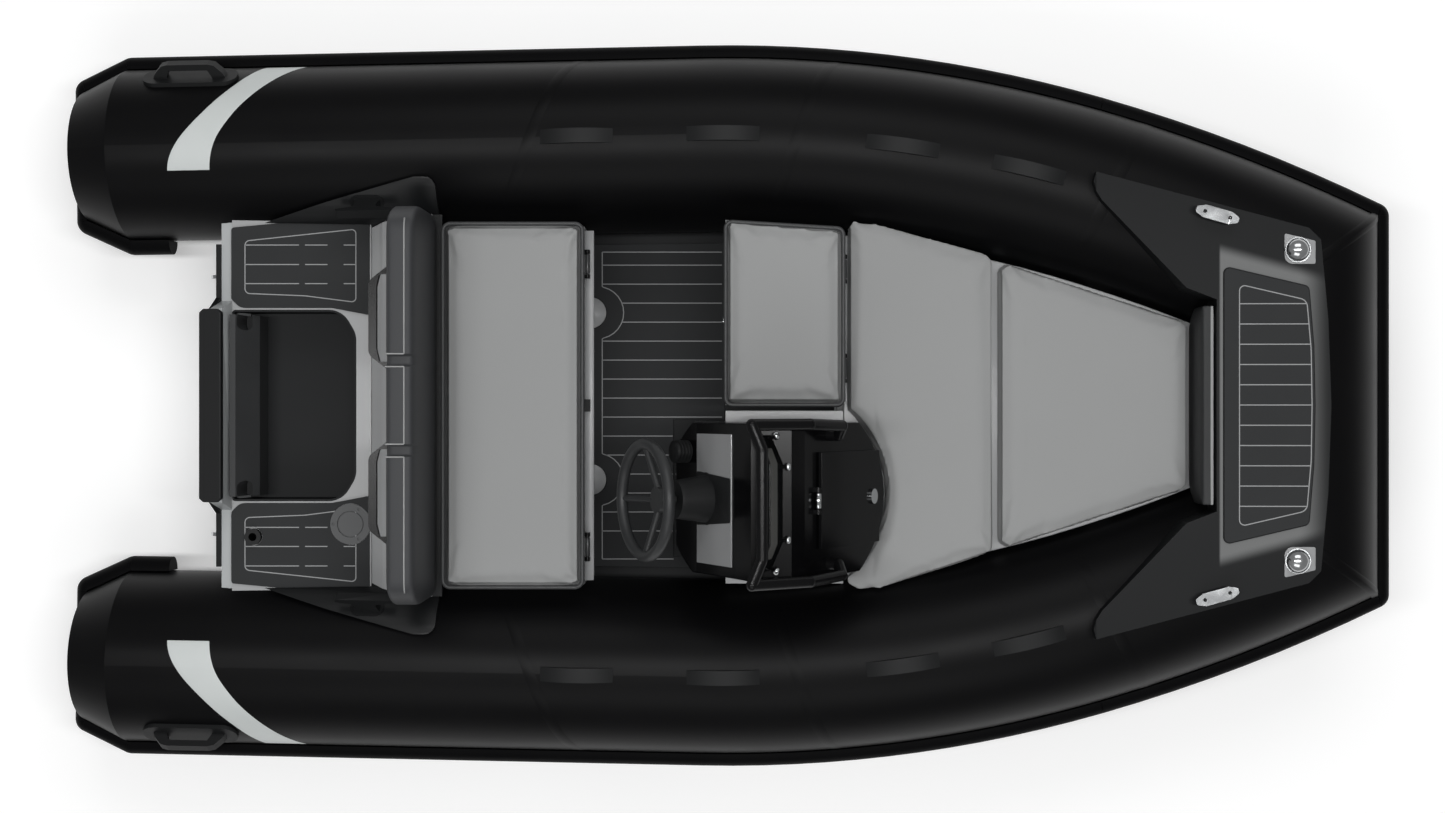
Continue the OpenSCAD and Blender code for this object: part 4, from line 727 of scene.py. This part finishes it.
# dotted band along the screen's top: a flat profile carried along the pane's bend, up the leaning pane
band = {"foot": (0.131, -0.215, 0.846), "lean": math.radians(20), "rise": (0.042, 0.085), "thick": 0.0009,
        "off": 0.0006, "bend": ((-0.0133, -0.121), (0.0, -0.088), (0.0, 0.088), (-0.0133, 0.121))}
lean = np.array([-math.sin(band["lean"]), 0.0, math.cos(band["lean"])])
ahead = np.array([math.cos(band["lean"]), 0.0, math.sin(band["lean"])])
bend = np.array(band["bend"])
bendX, bendY = (np.interp(np.linspace(0, 3, 37), np.arange(4), bend[:, k])[:, None] for k in (0, 1))
path = np.array(band["foot"]) + (bendX + band["off"]) * ahead + bendY * acrossBoat + sum(band["rise"]) / 2 * lean
tall, thin = (band["rise"][1] - band["rise"][0]) / 2, band["thick"] / 2
points, faces = sweep(path, lean, [[-thin, -tall], [thin, -tall], [thin, tall], [-thin, tall]], False)
makePiece("screenBand", points, faces, finishes["dottedFilm"], "boat", smooth=False)

# pale plates under the bow lights: a skew outline with one round corner, on the nose
lightPlate = {"outline": [[1.328, 0.332], [1.400, 0.332], [1.400, 0.386], [1.328, 0.404]],
              "round": [0.020, 0.004, 0.004, 0.004]}
parts = []
for side in (1, -1):
    outline = roundedPath(lightPlate["outline"], lightPlate["round"]) * [1, side]
    parts.append(plate(outline, pitched, 0.2502, 0.2516, 0.0006))
points, faces = joined(parts)
makePiece("bowLightPlates", points, faces, finishes["lightGelcoat"], "boat")

# two countersunk screws in each bow cleat, a turned head with a dished middle
cleat = {"x": 1.166, "out": 0.023, "turn": math.radians(16), "reach": 0.030, "z": 0.2838}
screwProfile = [[0.0012, 0.0002], [0.0026, 0.0010], [0.0042, 0.0012], [0.0046, 0.0006], [0.0046, -0.003]]
parts = []
cleatY = float(tubeAxis(cleat["x"])[0]) + cleat["out"]
for side in (1, -1):
    for end in (-1, 1):
        spot = pitched([cleat["x"] + end * cleat["reach"] * math.cos(cleat["turn"]),
                        side * (cleatY - end * cleat["reach"] * math.sin(cleat["turn"])), cleat["z"]])
        parts.append(turned(screwProfile, spot, collarUp, 16))
points, faces = joined(parts)
makePiece("cleatScrews", points, faces, finishes["texturedNylon"], "boat")

# black lip round the nose mat: a round cord along the mat's outline
matLip = {"outline": [[1.188, -0.325], [1.383, -0.278], [1.394, -0.14], [1.397, 0.0],
                      [1.394, 0.14], [1.383, 0.278], [1.188, 0.325]],
          "r": 0.0028, "z": 0.2515}
ring = roundedPath(matLip["outline"], [0.012, 0.012, 0.05, 0.05, 0.05, 0.012, 0.012])
path = pitched(np.column_stack([ring, np.full(len(ring), matLip["z"])]))
points, faces = sweep(path, collarUp, roundProfile(matLip["r"], 8), True)
makePiece("noseMatLip", points, faces, finishes["texturedNylon"], "boat")

# steel sleeve on the console hatch's hinge: a turned barrel with eased ends, on the hinge line
hatchJoint = [j for j in frame["record"]["behaviour"]["joints"] if j["name"] == "console_hatch_lift"][0]
hinge = {"at": hatchJoint["pos_m"], "half": 0.017, "r": 0.0068, "eased": 0.001}
r, half, eased = hinge["r"], hinge["half"], hinge["eased"]
sleeveProfile = [[r - eased, -half], [r, -half + eased], [r, half - eased], [r - eased, half]]
points, faces = turned(sleeveProfile, hinge["at"], [0.0, 1.0, 0.0], 24)
makePiece("hatchHingeSleeve", points, faces, finishes["polishedSteel"], "console_hatch")
print("stage: fittings")

# floor at the waterline and soft light
floorSettings = {"reach": 8.0, "glow": 0.14}
reach = floorSettings["reach"]
floorPoints = np.array([[-reach, -reach, 0.0], [reach, -reach, 0.0], [reach, reach, 0.0], [-reach, reach, 0.0]])
floorMesh = bpy.data.meshes.new("waterFloor")
floorMesh.from_pydata(floorPoints.tolist(), [], [[0, 1, 2, 3]])
floorPiece = bpy.data.objects.new("waterFloor", floorMesh)
scene.collection.objects.link(floorPiece)
floorMaterial = surface("paleFloor", {"dark": "#fbfbfb", "light": "#ffffff", "driftMm": 900, "grainMm": 30.0,
                                      "rough": 0.9, "bump": 0.0, "specular": 0.1})
floorMesh.materials.append(floorMaterial)
# the floor shows a little brighter to the camera and in reflections, so that the background is near white
tree = floorMaterial.node_tree
ray = addNode(tree, "ShaderNodeLightPath")
seen = addNode(tree, "ShaderNodeMath", {"operation": "ADD"}, {0: (ray, "Is Camera Ray"), 1: (ray, "Is Glossy Ray")})
seen = addNode(tree, "ShaderNodeMath", {"operation": "ADD", "use_clamp": True},
               {0: (seen, 0), 1: (ray, "Is Transmission Ray")})
lift = addNode(tree, "ShaderNodeMath", {"operation": "MULTIPLY", 1: floorSettings["glow"]}, {0: (seen, 0)})
floorShader = [n for n in tree.nodes if n.type == "BSDF_PRINCIPLED"][0]
floorShader.inputs["Emission Color"].default_value = (1.0, 1.0, 1.0, 1.0)
tree.links.new(lift.outputs[0], floorShader.inputs["Emission Strength"])

world = bpy.data.worlds.new("studio")
world.use_nodes = True
scene.world = world
sky = world.node_tree.nodes["Background"]
sky.inputs["Color"].default_value = (1.0, 1.0, 1.0, 1.0)
sky.inputs["Strength"].default_value = 0.25
# soft lamps to both sides, and a long one overhead, along the boat, that draws the glint on the tubes' crests
lamps = {"portSoft": {"place": (0.5, 5.0, 6.0), "size": (6.0, 3.0), "watts": 120},
         "starboardSoft": {"place": (-0.5, -5.0, 6.0), "size": (6.0, 3.0), "watts": 100},
         "overheadSoft": {"place": (0.0, 0.0, 8.0), "size": (0.5, 8.0), "watts": 350}}
for name, lamp in lamps.items():
    data = bpy.data.lights.new(name, "AREA")
    data.shape = "RECTANGLE"
    data.size, data.size_y = lamp["size"]
    data.energy = lamp["watts"]
    light = bpy.data.objects.new(name, data)
    light.location = lamp["place"]
    aim = -np.array(lamp["place"]) / np.linalg.norm(lamp["place"])
    light.rotation_euler = (math.acos(-aim[2]), 0.0, math.atan2(aim[1], aim[0]) - math.pi / 2)
    scene.collection.objects.link(light)
print("stage: light and floor")
